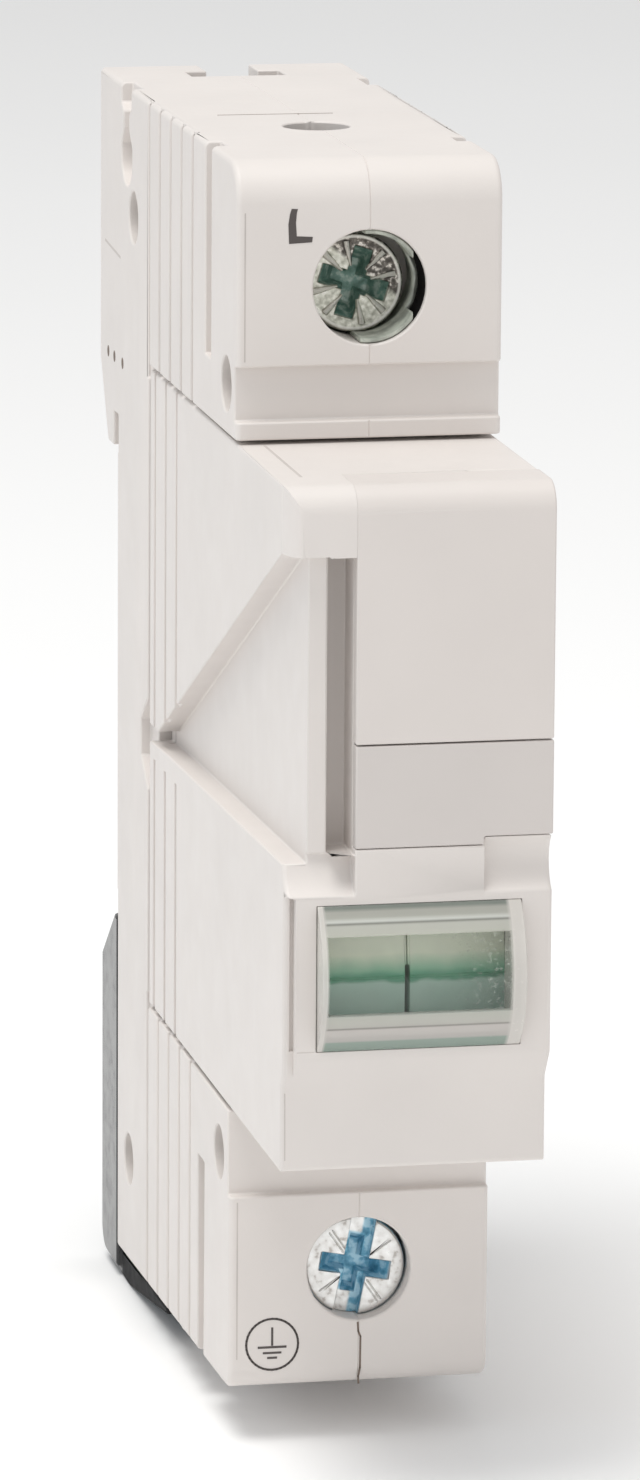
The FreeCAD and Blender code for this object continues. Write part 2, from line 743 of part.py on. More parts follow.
def terminal_cage(label, terminal):
    """Square tube that the screw draws forward, so that its back wall clamps the wire."""
    cage = new_body(label)
    back = "cage_front + cage_length"
    pad(cage, "tube", "Z", f"{terminal} - cage_height / 2", f"{terminal} + cage_height / 2",
        block("-cage_width / 2", "cage_width / 2", "cage_front", back),
        block("-cage_width / 2 + cage_wall", "cage_width / 2 - cage_wall", "cage_front + cage_wall",
              f"{back} - cage_wall"))
    pocket(cage, "screw_hole", "Y", "cage_front - 1", "cage_front + 1.5 * cage_wall",
           ("0", terminal, "shank_radius + shank_gap"))


terminal_cage("upper_terminal_cage", "upper_terminal")
terminal_cage("lower_terminal_cage", "lower_terminal")

# Busbars: from the clamping plate in the cage along the bay and to the contact behind it
FLOOR = "bay_top + shell_wall"
ROOF = "bay_floor - shell_wall"
upper_busbar = new_body("upper_busbar")
pad(upper_busbar, "bar", "X", "-busbar_width / 2", "busbar_width / 2", [
    ("busbar_front", FLOOR),
    ("busbar_leg - busbar", FLOOR),
    ("busbar_leg - busbar", "upper_contact - blade_height / 2"),
    ("busbar_leg", "upper_contact - blade_height / 2"),
    ("busbar_leg", f"{FLOOR} + busbar"),
    ("busbar_front + busbar", f"{FLOOR} + busbar"),
    ("busbar_front + busbar", "upper_terminal + busbar_end"),
    ("busbar_front", "upper_terminal + busbar_end"),
])
lower_busbar = new_body("lower_busbar")
pad(lower_busbar, "bar", "X", "-busbar_width / 2", "busbar_width / 2", [
    ("busbar_front", "lower_terminal - busbar_end"),
    ("busbar_front + busbar", "lower_terminal - busbar_end"),
    ("busbar_front + busbar", f"{ROOF} - busbar"),
    ("busbar_leg", f"{ROOF} - busbar"),
    ("busbar_leg", "lower_contact + blade_height / 2"),
    ("busbar_leg - busbar", "lower_contact + blade_height / 2"),
    ("busbar_leg - busbar", ROOF),
    ("busbar_front", ROOF),
])


def socket_clip(label, contact):
    """Two jaws on a back plate, that grip a blade of the module."""
    socket = new_body(label)
    inner = "blade / 2 + jaw_gap"
    outer = f"{inner} + jaw"
    back = "busbar_leg - busbar - jaw"
    low, high = f"{contact} - blade_height / 2", f"{contact} + blade_height / 2"
    pad(socket, "back", "Z", low, high,
        block("-busbar_width / 2", "busbar_width / 2", back, f"{back} + jaw"))
    pad(socket, "jaws", "Z", low, high, [
        (inner, "jaw_front + jaw_lip"),
        (f"{inner} + jaw_lip / 2", "jaw_front"),
        (f"{outer} + jaw_lip / 2", "jaw_front"),
        (outer, "jaw_front + jaw_lip"),
        (outer, f"{back} + jaw / 2"),
        (inner, f"{back} + jaw / 2"),
    ], [
        (f"-({inner})", "jaw_front + jaw_lip"),
        (f"-({inner})", f"{back} + jaw / 2"),
        (f"-({outer})", f"{back} + jaw / 2"),
        (f"-({outer})", "jaw_front + jaw_lip"),
        (f"-({outer} + jaw_lip / 2)", "jaw_front"),
        (f"-({inner} + jaw_lip / 2)", "jaw_front"),
    ])


socket_clip("upper_socket_clip", "upper_contact")
socket_clip("lower_socket_clip", "lower_contact")

# Rail clip: plate behind the rail face, tooth, guide in the base, tab under the base
CLIP_FRONT = "(clip_gap - seat_rise)"
clip = new_body("din_clip")
pad(clip, "plate", "X", "-width / 2", "width / 2", [
    (CLIP_FRONT, "clip_foot"),
    ("clip_back - clip_round", "clip_foot", "0.293 * clip_round"),
    ("clip_back", "clip_foot + clip_round"),
    ("clip_back", "clip_top - clip_ramp"),
    ("tooth_front", "clip_top"),
    (CLIP_FRONT, "clip_top"),
])
pad(clip, "tooth", "X", "-tooth_width / 2", "tooth_width / 2", [
    ("tooth_front", "clip_top - 2"),
    ("tooth_back", "clip_top - clip_ramp"),
    ("tooth_back", "clip_top + tooth_rise / 4"),
    ("tooth_front + 1", "clip_top + tooth_rise"),
    ("tooth_front", "clip_top + tooth_rise"),
])
TAB_HALF = "(width / 2 - tab_side_gap)"
TAB_TOP = "foot_rear - clip_gap"
TAB_NOSE = "foot_rear - clip_gap + (foot_front - foot_rear) * tab_front / lower_front"
pad(clip, "tab", "X", f"-{TAB_HALF}", TAB_HALF, [
    ("tab_front", f"{TAB_NOSE} - tab_nose"),
    ("tab_deepest", "tab_low"),
    ("clip_gap + 1", "tab_low"),
    ("clip_gap + 3", "clip_foot"),
    ("clip_gap + 3", TAB_TOP),
    ("0", TAB_TOP),
    ("tab_front", TAB_NOSE),
])
pocket(clip, "tab_slot", "Z", "tab_low - 1", "foot_front",
       block("-tab_slot_width / 2", "tab_slot_width / 2", "tab_slot_front", "tab_slot_front + tab_slot"))
pad(clip, "guide_neck", "Y", "guide_flange_front", f"{CLIP_FRONT} + clip_gap",
    block("-guide_width / 2", "guide_width / 2", "guide_top - guide_length", "guide_top"))
pad(clip, "guide_flange", "Y", "guide_flange_front", "-shell_wall - guide_gap",
    block("-guide_flange / 2", "guide_flange / 2", "guide_top - guide_length", "guide_top"))
pocket(clip, "window", "Y", f"{CLIP_FRONT} - 0.1", "clip_back + 1",
       block("-window_width / 2", "window_width / 2", "window_low", "window_top"))
CORE_IN = "window_width / 2 + clip_core / 2"
CORE_OUT = "width / 2 - shell_wall"
pocket(clip, "cores", "Y", f"{CLIP_FRONT} + clip_core", "clip_back + 1",
       block(f"-({CORE_OUT})", f"-({CORE_IN})", "window_low", "clip_core_top"),
       block(CORE_IN, CORE_OUT, "window_low", "clip_core_top"))


def coil_spring(label, axis_across, axis_depth, low, high, radius, wire, turns):
    """Square wire wound about an upright axis between two levels."""
    spring = new_body(label)
    tie(spring, "Placement.Base.x", axis_across)
    tie(spring, "Placement.Base.y", axis_depth)
    profile = new_sketch(spring, "Y", "0", "wire_sketch")
    draw(profile, block(f"{radius} - {wire}", f"{radius} + {wire}", low, f"{low} + 2 * {wire}"))
    coil = spring.newObject("PartDesign::AdditiveHelix", label + "_coil")
    coil.Profile = profile
    coil.ReferenceAxis = (plane_of(spring, "Z_Axis"), [""])
    coil.Mode = "height-turns-angle"
    tie(coil, "Height", f"({high}) - ({low}) - 2 * {wire}")
    tie(coil, "Turns", turns)
    coil.Angle = 0
    return spring


coil_spring("din_clip_spring", "0", "clip_spring_axis", "peg_top", "window_top",
            "clip_spring_radius", "clip_spring_wire", "clip_spring_turns")

# Module, core: top, bottom, back and front walls, open at both sides
HALF = "width / 2 - side_gap"
CORE = "(width / 2 - side_gap - cover)"
BACK = "bay_back - module_gap"
TOP = "bay_top - module_gap"
LOW = "bay_floor + module_gap"
FACE = "module_front + panel"
OVER = "module_front + panel_reach"
FRAME_BACK = "module_front + frame_depth"
WINDOW_BACK = "module_front + frame_depth + block_wall"
core = new_body("module_body")
pad(core, "walls", "X", f"-{CORE}", CORE, [
    ("logo_front", LOW),
    (BACK, LOW),
    (BACK, TOP),
    (OVER, TOP),
    (OVER, f"{TOP} - panel"),
    (FACE, f"{TOP} - panel"),
    (FACE, "panel_low"),
    ("module_front", "panel_low"),
    ("module_front", "frame_top"),
    (FRAME_BACK, "frame_top"),
    (FRAME_BACK, "frame_low"),
    ("module_front", "frame_low"),
    ("logo_front", "chin_low"),
])
pad(core, "front_bridge", "X", f"-{CORE}", "-block_half - joint", [
    ("module_front", "recess_top"),
    ("recess_top_depth + 4", "recess_top"),
    ("recess_top_depth + 4", TOP),
    ("module_front + module_round", TOP, "0.293 * module_round"),
    ("module_front", f"{TOP} - module_round"),
])
pocket(core, "chambers", "X", f"-{CORE}", CORE, [
    (WINDOW_BACK, f"{LOW} + module_wall"),
    (f"{BACK} - module_wall", f"{LOW} + module_wall"),
    (f"{BACK} - module_wall", f"{TOP} - module_wall"),
    ("chamber_front", f"{TOP} - module_wall"),
    ("chamber_front", "slot_floor - block_wall"),
    (WINDOW_BACK, "slot_floor - block_wall"),
])
pocket(core, "block_chamber", "X", "-block_half + block_wall", "block_half - block_wall",
       block(f"{FACE} + block_wall", "chamber_front + 1", "slot_floor - 2 * block_wall", "trip_spring_top"))
for side, (inner, outer, floor) in {
    "left": ("-pan_half", "-block_half", "slot_floor"),
    "right": ("block_half", "pan_half", "panel_right_low"),
}.items():
    pocket(core, f"{side}_slot", "X", inner, outer,
           block("module_front - 1", "slot_end", floor, "recess_top - 0.1"))
PAN_ROOM = "(pan_half - joint)"
for side, (inner, outer) in {"left": (f"-{HALF}", f"-{PAN_ROOM}"), "right": (PAN_ROOM, HALF)}.items():
    pocket(core, f"{side}_pan_room", "X", inner, outer,
           block("module_front - 1", "chamber_front + 1", "frame_top", "recess_top"))
COVE = [
    ("module_front - 1", "frame_top"),
    ("module_front", "frame_top", "cove_bow"),
    ("module_front + cove_depth", "slot_floor"),
    ("module_front - 1", "slot_floor"),
]
TROUGH = [
    ("module_front - 1", "frame_top"),
    ("module_front", "frame_top", "trough"),
    ("module_front", "panel_right_low"),
    ("module_front - 1", "panel_right_low"),
]
pocket(core, "left_cove", "X", f"-{HALF}", "-block_half", COVE)
pocket(core, "right_trough", "X", "block_half", HALF, TROUGH)
pocket(core, "window", "Y", "module_front", "module_front + frame_depth + 2 * block_wall",
       block("-lens_half", "lens_half", "lens_low", "lens_top"))
RIB_HALF = "(guide_rib / 2 + guide_rib_gap)"
pad(core, "groove_backing", "Y", "chamber_front", f"{BACK} - module_wall / 2",
    block(f"-{RIB_HALF} - guide_rib_wall", f"{RIB_HALF} + guide_rib_wall",
          f"{TOP} - module_wall - guide_rib_wall", f"{TOP} - module_wall / 2"),
    block(f"-{RIB_HALF} - guide_rib_wall", f"{RIB_HALF} + guide_rib_wall",
          f"{LOW} + module_wall / 2", f"{LOW} + module_wall + guide_rib_wall"))
pocket(core, "guide_grooves", "Y", "guide_rib_front - guide_rib_gap", f"{BACK} + 1",
       block(f"-{RIB_HALF}", RIB_HALF, f"{TOP} - guide_rib_height - guide_rib_gap", f"{TOP} + 1"),
       block(f"-{RIB_HALF}", RIB_HALF, f"{LOW} - 1", f"{LOW} + guide_rib_height + guide_rib_gap"))
CRADLE_HALF = "(blade / 2 + varistor + electrode)"
CRADLE = (f"-{CRADLE_HALF}", CRADLE_HALF, f"{LOW} + module_wall / 2", "varistor_low")
pad(core, "cradle_front", "Y", "cradle_front", "cradle_front + cradle", block(*CRADLE))
pad(core, "cradle_rear", "Y", "cradle_rear", "cradle_rear + cradle", block(*CRADLE))
blades = []
for contact in ("upper_contact", "lower_contact"):
    low, high = f"{contact} - blade_height / 2", f"{contact} + blade_height / 2"
    blades.append(block("-blade / 2", "blade / 2", low, high))
pocket(core, "blade_holes", "Y", f"{BACK} - 2 * module_wall", f"{BACK} + 1", *blades)


def side_cover(label, sign):
    """Side wall of the module with the sunk finger recess. The sign is the side that it closes."""

    def levels(inner, outer):
        return (inner, outer) if sign > 0 else (f"-({outer})", f"-({inner})")

    set_back = [
        ("module_front", "recess_low"),
        ("module_front + cover_setback", "recess_low"),
        ("module_front + cover_setback", "chin_low + 0.8"),
    ]
    flush = [("module_front", "frame_low")]
    cover = new_body(label)
    pad(cover, "wall", "X", *levels(CORE, HALF), [
        ("logo_front", LOW),
        (BACK, LOW),
        (BACK, TOP),
        ("module_front + module_round", TOP, "0.293 * module_round"),
        ("module_front", f"{TOP} - module_round"),
        *(flush if sign > 0 else set_back),
        ("logo_front", "chin_low"),
    ])
    pad(cover, "pan", "X", *levels("pan_half", "width / 2 - side_gap - cover / 2"), [
        ("pan_front", "recess_low - 1.4 * recess_floor"),
        ("recess_ledge_depth", "recess_ledge - recess_floor"),
        ("recess_apex_depth + recess_floor", "recess_ledge - recess_floor"),
        ("recess_apex_depth + recess_floor", "recess_apex + 0.6 * recess_floor"),
        ("recess_top_depth + 2.36 * recess_floor", "recess_top"),
        ("pan_front", "recess_top"),
    ])
    pocket(cover, "recess", "X", *levels("width / 2 - side_gap - recess_depth", "width / 2 + 1"), [
        ("module_front - 1", "recess_low"),
        ("recess_ledge_depth", "recess_ledge"),
        (f"{BACK} + 1", "recess_exit"),
        (f"{BACK} + 1", "recess_apex"),
        ("recess_apex_depth", "recess_apex"),
        ("recess_top_depth", "recess_top"),
        ("module_front - 1", "recess_top"),
    ])
    outer = levels("width / 2 - side_gap - groove_depth", "width / 2 + 1")
    first = ("cover_groove_first - groove / 2", "cover_groove_first + groove / 2")
    upper = pocket(cover, "upper_groove", "X", *outer, block(*first, "recess_apex - 0.3", f"{TOP} + 1"))
    repeat_along_depth(cover, "upper_grooves", upper, "cover_grooves", "groove_pitch")
    lower = pocket(cover, "lower_groove", "X", *outer, block(*first, f"{LOW} - 1", "cover_groove_low"))
    repeat_along_depth(cover, "lower_grooves", lower, "cover_grooves", "groove_pitch")
    pocket(cover, "frame_room", "X", *levels(CORE, "frame_half + joint"),
           block("module_front - 1", f"{FRAME_BACK} + joint", "frame_low - joint", "frame_top + joint"))
    foot = "panel_right_low - joint" if sign > 0 else "recess_low"
    pad(cover, "foot", "X", *levels("pan_half", HALF),
        block("module_front", "pan_front + recess_floor", "frame_top + joint", foot))
    hollow = TROUGH if sign > 0 else COVE
    pocket(cover, "foot_hollow", "X", *levels("pan_half - 1", "width / 2 + 1"), hollow)
    return cover


left_cover = side_cover("module_cover_left", -1)
CUT = ("-width / 2 + side_gap", "-width / 2 + side_gap + corner_cut")
pocket(left_cover, "front_corner", "Z", "recess_top - 1", f"{TOP} + 1", [
    ("-width / 2 - 1", "module_front - 1"),
    (CUT[1], "module_front - 1"),
    (CUT[1], "module_front"),
    (CUT[0], "module_front + corner_cut_depth"),
    ("-width / 2 - 1", "module_front + corner_cut_depth"),
])
right_cover = side_cover("module_cover_right", 1)
pocket(right_cover, "panel_room", "X", CORE, "width / 2 + 1", [
    ("module_front - 1", "panel_right_low - joint"),
    (f"{FACE} + joint", "panel_right_low - joint"),
    (f"{FACE} + joint", f"{TOP} - panel - joint"),
    (f"{OVER} + joint", f"{TOP} - panel - joint"),
    (f"{OVER} + joint", f"{TOP} + 1"),
    ("module_front - 1", f"{TOP} + 1"),
])

# Front of the module: two label panels, the frame of the window and its bowed lens
upper_panel = new_body("upper_label_panel")
pad(upper_panel, "sheet", "X", "-block_half", HALF, [
    ("module_front", "panel_split + joint"),
    (FACE, "panel_split + joint"),
    (FACE, f"{TOP} - panel"),
    (OVER, f"{TOP} - panel"),
    (OVER, TOP),
    ("module_front + module_round", TOP, "0.293 * module_round"),
    ("module_front", f"{TOP} - module_round"),
])
lower_panel = new_body("lower_label_panel")
pad(lower_panel, "sheet", "Y", "module_front", FACE, [
    ("-block_half", "panel_low + joint"),
    ("block_half", "panel_low + joint"),
    ("block_half", "panel_right_low"),
    (HALF, "panel_right_low"),
    (HALF, "panel_split - joint"),
    ("-block_half", "panel_split - joint"),
])
frame = new_body("window_frame")
pad(frame, "plate", "Y", "module_front", FRAME_BACK,
    block("-frame_half", "frame_half", "frame_low + joint", "frame_top - joint"))
frame_corner = number("frame_low + joint")
dress_edges(frame, "Fillet", "corners", "frame_round",
            lambda edge: runs_along(edge, 1) and lies_at(edge, z=frame_corner))
pocket(frame, "opening", "Y", "module_front - 1", f"{FRAME_BACK} + 1",
       block("-lens_half - joint", "lens_half + joint", "lens_low - joint", "lens_top + joint"))
pocket(frame, "lip_room", "Y", f"{FRAME_BACK} - lens_lip_depth - joint", f"{FRAME_BACK} + 1",
       block("-lens_half - lens_lip - joint", "lens_half + lens_lip + joint",
             "lens_low - lens_lip - joint", "lens_top + lens_lip - 2 * joint"))
lens = new_body("window_lens")
pad(lens, "bow", "X", "-lens_half", "lens_half", [
    (FRAME_BACK, "lens_low"),
    (FRAME_BACK, "lens_top"),
    ("module_front", "lens_top", "lens_bulge"),
    ("module_front", "lens_low"),
])
pad(lens, "lip", "Y", f"{FRAME_BACK} - lens_lip_depth", FRAME_BACK,
    block("-lens_half - lens_lip", "lens_half + lens_lip",
          "lens_low - lens_lip", "lens_top + lens_lip - 3 * joint"))
pocket(lens, "hollow", "X", "-lens_half + lens_wall", "lens_half - lens_wall", [
    (f"{FRAME_BACK} + 1", "lens_low + lens_wall"),
    (f"{FRAME_BACK} + 1", "lens_top - lens_wall"),
    ("module_front", "lens_top - lens_wall", "lens_bulge - lens_wall / 2"),
    ("module_front", "lens_low + lens_wall"),
])

# Inside the module: two varistor blocks with a shared electrode between them
varistor = new_body("varistor_left")
pad(varistor, "block", "X", "-blade / 2 - varistor", "-blade / 2",
    block("varistor_front", "varistor_back", "varistor_low", "varistor_top"))
dress_edges(varistor, "Fillet", "corners", "varistor_round", lambda edge: runs_along(edge, 0))
mirror_of(varistor, "varistor_right")
PLATE = ("varistor_front + electrode_margin", "varistor_back - electrode_margin",
         "varistor_low + electrode_margin", "varistor_top - electrode_margin")
centre = new_body("centre_electrode")
pad(centre, "plate", "X", "-blade / 2", "blade / 2", [
    (PLATE[0], PLATE[2]),
    (PLATE[1], PLATE[2]),
    (PLATE[1], "lower_contact - blade_height / 2"),
    ("tail_joint", "lower_contact - blade_height / 2"),
    ("tail_joint", "lower_contact + blade_height / 2"),
    (PLATE[1], "lower_contact + blade_height / 2"),
    (PLATE[1], PLATE[3]),
    (PLATE[0], PLATE[3]),
])
outer_electrode = new_body("electrode_left")
pad(outer_electrode, "plate", "X", "-blade / 2 - varistor - electrode", "-blade / 2 - varistor", [
    (PLATE[0], PLATE[2]),
    (PLATE[1], PLATE[2]),
    (PLATE[1], PLATE[3]),
    (PLATE[0], PLATE[3]),
    (PLATE[0], "solder_tab_high"),
    ("strip_front + strip", "solder_tab_high"),
    ("strip_front + strip", "solder_tab_low"),
    (PLATE[0], "solder_tab_low"),
])
mirror_of(outer_electrode, "electrode_right")

# Thin strips from the solder tabs over the blocks to the yoke, and the two blades
STRIP = ("-blade / 2 - varistor - electrode", "-blade / 2 - varistor - electrode + strip_width")
strip = new_body("trip_strip_left")
pad(strip, "band", "X", *STRIP, [
    ("strip_front", "solder_tab_low"),
    ("strip_front + strip", "solder_tab_low"),
    ("strip_front + strip", "strip_top - strip"),
    ("yoke_front", "strip_top - strip"),
    ("yoke_front", "strip_top"),
    ("strip_front", "strip_top"),
])
mirror_of(strip, "trip_strip_right")
upper_blade = new_body("upper_blade")
pad(upper_blade, "blade", "X", "-blade / 2", "blade / 2",
    block("yoke_front + yoke / 2", "blade_tip",
          "upper_contact - blade_height / 2", "upper_contact + blade_height / 2"))
pad(upper_blade, "yoke", "Y", "yoke_front", "yoke_front + yoke",
    block("-blade / 2 - varistor - electrode", "blade / 2 + varistor + electrode",
          "upper_contact - blade_height / 2", "strip_top"))
lower_blade = new_body("lower_blade")
pad(lower_blade, "blade", "X", "-blade / 2", "blade / 2",
    block("tail_joint", "blade_tip",
          "lower_contact - blade_height / 2", "lower_contact + blade_height / 2"))

# Trip sliders: green flag behind the lens, arm, stem in the block, nose at the strip
slider = new_body("trip_slider_left")
pad(slider, "flag", "Z", "flag_low", "flag_top", [
    ("-flag_outer", "flag_front"),
    ("-flag_outer + 1", "flag_front - flag_bulge"),
    ("-flag_split - 1", "flag_front - flag_bulge"),
    ("-flag_split", "flag_front"),
    ("-flag_split", "flag_front + flag"),
    ("-flag_outer", "flag_front + flag"),
])
pad(slider, "arm", "X", "-stem_inner - flag_arm", "-stem_inner",
    block("flag_front + flag / 2", "stem_back", "flag_top - flag_arm", "flag_top"))
pad(slider, "stem", "X", "-stem_outer", "-stem_inner",
    block("stem_front", "stem_back", "flag_top - flag_arm", "stem_top"))
pad(slider, "nose", "X", "-stem_outer", "-stem_inner - flag_arm",
    block("stem_back - 0.5", "nose_back", "stem_top - flag_arm", "stem_top"))
mirror_of(slider, "trip_slider_right")
spring = coil_spring("trip_spring_left", "-(stem_inner + stem_outer) / 2", "(stem_front + stem_back) / 2",
                     "stem_top", "trip_spring_top",
                     "trip_spring_radius", "trip_spring_wire", "trip_spring_turns")
mirror_of(spring, "trip_spring_right")

# Red plate behind the flags, slotted for the arms
back_plate = new_body("indicator_back")
pad(back_plate, "plate", "Y", "back_plate_front", "back_plate_front + back_plate", [
    ("-flag_outer", f"{LOW} + module_wall"),
    ("flag_outer", f"{LOW} + module_wall"),
    ("flag_outer", "back_plate_top"),
    ("back_plate_slot", "back_plate_top"),
    ("back_plate_slot", "back_plate_slot_low"),
    ("-back_plate_slot", "back_plate_slot_low"),
    ("-back_plate_slot", "back_plate_top"),
    ("-flag_outer", "back_plate_top"),
])

doc.recompute()

# Every feature must be sound, and every cut or pad must have changed its body
pieces = [item for item in doc.Objects if item.TypeId in ("PartDesign::Body", "Part::Mirroring")]
for item in doc.Objects:
    if "Invalid" in item.State or "Error" in item.State:
        raise RuntimeError(f"{item.Label}: {item.State}")
for body in pieces:
    if body.TypeId != "PartDesign::Body":
        continue
    before = 0.0
    for feature in body.Group:
        if not feature.isDerivedFrom("PartDesign::Feature"):
            continue
        after = feature.Shape.Volume
        cuts = feature.TypeId == "PartDesign::Pocket"
        if cuts and after > before - 1e-3:
            raise RuntimeError(f"{feature.Label} cuts nothing")
        if feature.TypeId == "PartDesign::Pad" and after < before + 1e-3:
            raise RuntimeError(f"{feature.Label} adds nothing")
        before = after

os.makedirs("parts", exist_ok=True)
for piece in pieces:
    shape = piece.Shape
    if shape.isNull() or not shape.isValid():
        raise RuntimeError(f"{piece.Label}: shape is not sound")
    shape.exportStep(f"parts/{piece.Label}.step")
    box = shape.BoundBox
    print(f"{piece.Label:24} {len(shape.Solids)} solid  x {box.XMin:6.1f} {box.XMax:6.1f}  "
          f"y {box.YMin:6.1f} {box.YMax:6.1f}  z {box.ZMin:6.1f} {box.ZMax:6.1f}")
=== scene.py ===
import math

import bmesh
import bpy
from mathutils import Matrix, Vector


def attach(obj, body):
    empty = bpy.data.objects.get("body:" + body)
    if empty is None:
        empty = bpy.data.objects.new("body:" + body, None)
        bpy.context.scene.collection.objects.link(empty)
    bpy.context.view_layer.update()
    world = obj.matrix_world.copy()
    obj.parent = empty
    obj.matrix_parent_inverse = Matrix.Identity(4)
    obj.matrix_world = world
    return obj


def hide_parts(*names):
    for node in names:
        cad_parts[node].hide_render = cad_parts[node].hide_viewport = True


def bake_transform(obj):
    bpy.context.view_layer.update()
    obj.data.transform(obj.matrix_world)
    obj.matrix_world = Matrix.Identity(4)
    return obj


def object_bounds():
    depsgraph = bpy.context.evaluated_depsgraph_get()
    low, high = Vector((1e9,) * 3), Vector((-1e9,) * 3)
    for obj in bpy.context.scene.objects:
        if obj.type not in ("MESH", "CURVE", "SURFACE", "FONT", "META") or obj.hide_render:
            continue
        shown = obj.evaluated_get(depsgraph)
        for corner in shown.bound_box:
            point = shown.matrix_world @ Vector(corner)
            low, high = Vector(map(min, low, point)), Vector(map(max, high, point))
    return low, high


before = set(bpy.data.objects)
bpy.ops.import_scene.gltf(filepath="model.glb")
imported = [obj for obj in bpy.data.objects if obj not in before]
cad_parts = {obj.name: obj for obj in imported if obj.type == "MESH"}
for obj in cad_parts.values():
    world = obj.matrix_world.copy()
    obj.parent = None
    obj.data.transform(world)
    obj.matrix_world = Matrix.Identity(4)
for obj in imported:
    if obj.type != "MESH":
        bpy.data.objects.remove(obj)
cad_box = [list(corner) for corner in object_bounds()]

# BASE HALF SHELLS
# The base is two halves of light grey glass-filled nylon, moulded with a fine matt skin and
# riveted together along the middle. Every outer edge left the mould with a small radius.
MM = 0.001


def nodes_of(name):
    """A new node material with its shader, and the object's own coordinates in metres."""
    material = bpy.data.materials.new(name)
    material.use_nodes = True
    tree = material.node_tree
    shader = tree.nodes["Principled BSDF"]
    place = tree.nodes.new("ShaderNodeTexCoord")
    return material, tree, shader, place.outputs["Object"]


def noise(tree, place, size, detail=3.0, stretch=(1, 1, 1)):
    """Cloudy noise whose patches are about size across, in metres."""
    mapping = tree.nodes.new("ShaderNodeMapping")
    mapping.inputs["Scale"].default_value = stretch
    tree.links.new(place, mapping.inputs["Vector"])
    cloud = tree.nodes.new("ShaderNodeTexNoise")
    cloud.inputs["Scale"].default_value = 1 / size
    cloud.inputs["Detail"].default_value = detail
    tree.links.new(mapping.outputs["Vector"], cloud.inputs["Vector"])
    return cloud.outputs["Fac"]


def ramp(tree, factor, *stops):
    """Colours spread over a factor, each stop a position and a colour."""
    node = tree.nodes.new("ShaderNodeValToRGB")
    while len(node.color_ramp.elements) < len(stops):
        node.color_ramp.elements.new(0.5)
    for element, (position, colour) in zip(node.color_ramp.elements, stops):
        element.position = position
        element.color = (*colour, 1)
    tree.links.new(factor, node.inputs["Fac"])
    return node.outputs["Color"]


def spread(tree, factor, low, high, start=0.3, stop=0.7):
    """A factor between start and stop spread between two values."""
    node = tree.nodes.new("ShaderNodeMapRange")
    node.inputs["From Min"].default_value = start
    node.inputs["From Max"].default_value = stop
    node.inputs["To Min"].default_value = low
    node.inputs["To Max"].default_value = high
    tree.links.new(factor, node.inputs["Value"])
    return node.outputs["Result"]


def blended(tree, factor, first, second):
    """Two colours mixed by a factor."""
    node = tree.nodes.new("ShaderNodeMix")
    node.data_type = "RGBA"
    tree.links.new(factor, node.inputs["Factor"])
    for socket, colour in ((node.inputs["A"], first), (node.inputs["B"], second)):
        if isinstance(colour, bpy.types.NodeSocket):
            tree.links.new(colour, socket)
        else:
            socket.default_value = (*colour, 1)
    return node.outputs["Result"]


def worked(tree, operation, first, second=None):
    """One step of arithmetic on factors or plain values."""
    node = tree.nodes.new("ShaderNodeMath")
    node.operation = operation
    for index, value in enumerate((first, second)):
        if isinstance(value, bpy.types.NodeSocket):
            tree.links.new(value, node.inputs[index])
        elif value is not None:
            node.inputs[index].default_value = value
    return node.outputs["Value"]


def raise_grain(tree, shader, height, depth):
    """Bump of a real depth in metres."""
    bump = tree.nodes.new("ShaderNodeBump")
    bump.inputs["Strength"].default_value = 1.0
    bump.inputs["Distance"].default_value = depth
    tree.links.new(height, bump.inputs["Height"])
    tree.links.new(bump.outputs["Normal"], shader.inputs["Normal"])


def moulded(name, colour, shade, rough, grain=0.22 * MM, depth=0.006 * MM, gloss=0.5):
    """Moulded plastic: cloudy colour, uneven matt and a fine spark-eroded grain."""
    material, tree, shader, place = nodes_of(name)
    cloud_size, matt_size = 9 * MM, 2.5 * MM
    dark = [value * shade for value in colour]
    tree.links.new(ramp(tree, noise(tree, place, cloud_size), (0.3, dark), (0.7, colour)),
                   shader.inputs["Base Color"])
    tree.links.new(spread(tree, noise(tree, place, matt_size), *rough), shader.inputs["Roughness"])
    raise_grain(tree, shader, noise(tree, place, grain, detail=2.0), depth)
    shader.inputs["Specular IOR Level"].default_value = gloss
    return material


def welded(mesh):
    """The faces of a solid, joined at their shared corners and without flat cuts."""
    touching, nearly_flat = 0.002 * MM, math.radians(0.3)
    work = bmesh.new()
    work.from_mesh(mesh)
    bmesh.ops.remove_doubles(work, verts=work.verts, dist=touching)
    bmesh.ops.dissolve_limit(work, angle_limit=nearly_flat, verts=work.verts, edges=work.edges)
    work.verts.index_update()
    points = [vertex.co / MM for vertex in work.verts]
    faces = [[vertex.index for vertex in face.verts] for face in work.faces]
    work.free()
    return points, faces


def piece_of(name, points, faces, material, smooth=35):
    """A mesh object from points in millimetres, shaded smooth across gentle angles."""
    mesh = bpy.data.meshes.new(name)
    mesh.from_pydata([Vector(point) * MM for point in points], [], faces)
    work = bmesh.new()
    work.from_mesh(mesh)
    bmesh.ops.recalc_face_normals(work, faces=work.faces)
    work.to_mesh(mesh)
    work.free()
    mesh.materials.append(material)
    mesh.shade_smooth()
    mesh.set_sharp_from_angle(angle=math.radians(smooth))
    piece = bpy.data.objects.new(name, mesh)
    bpy.context.scene.collection.objects.link(piece)
    return piece


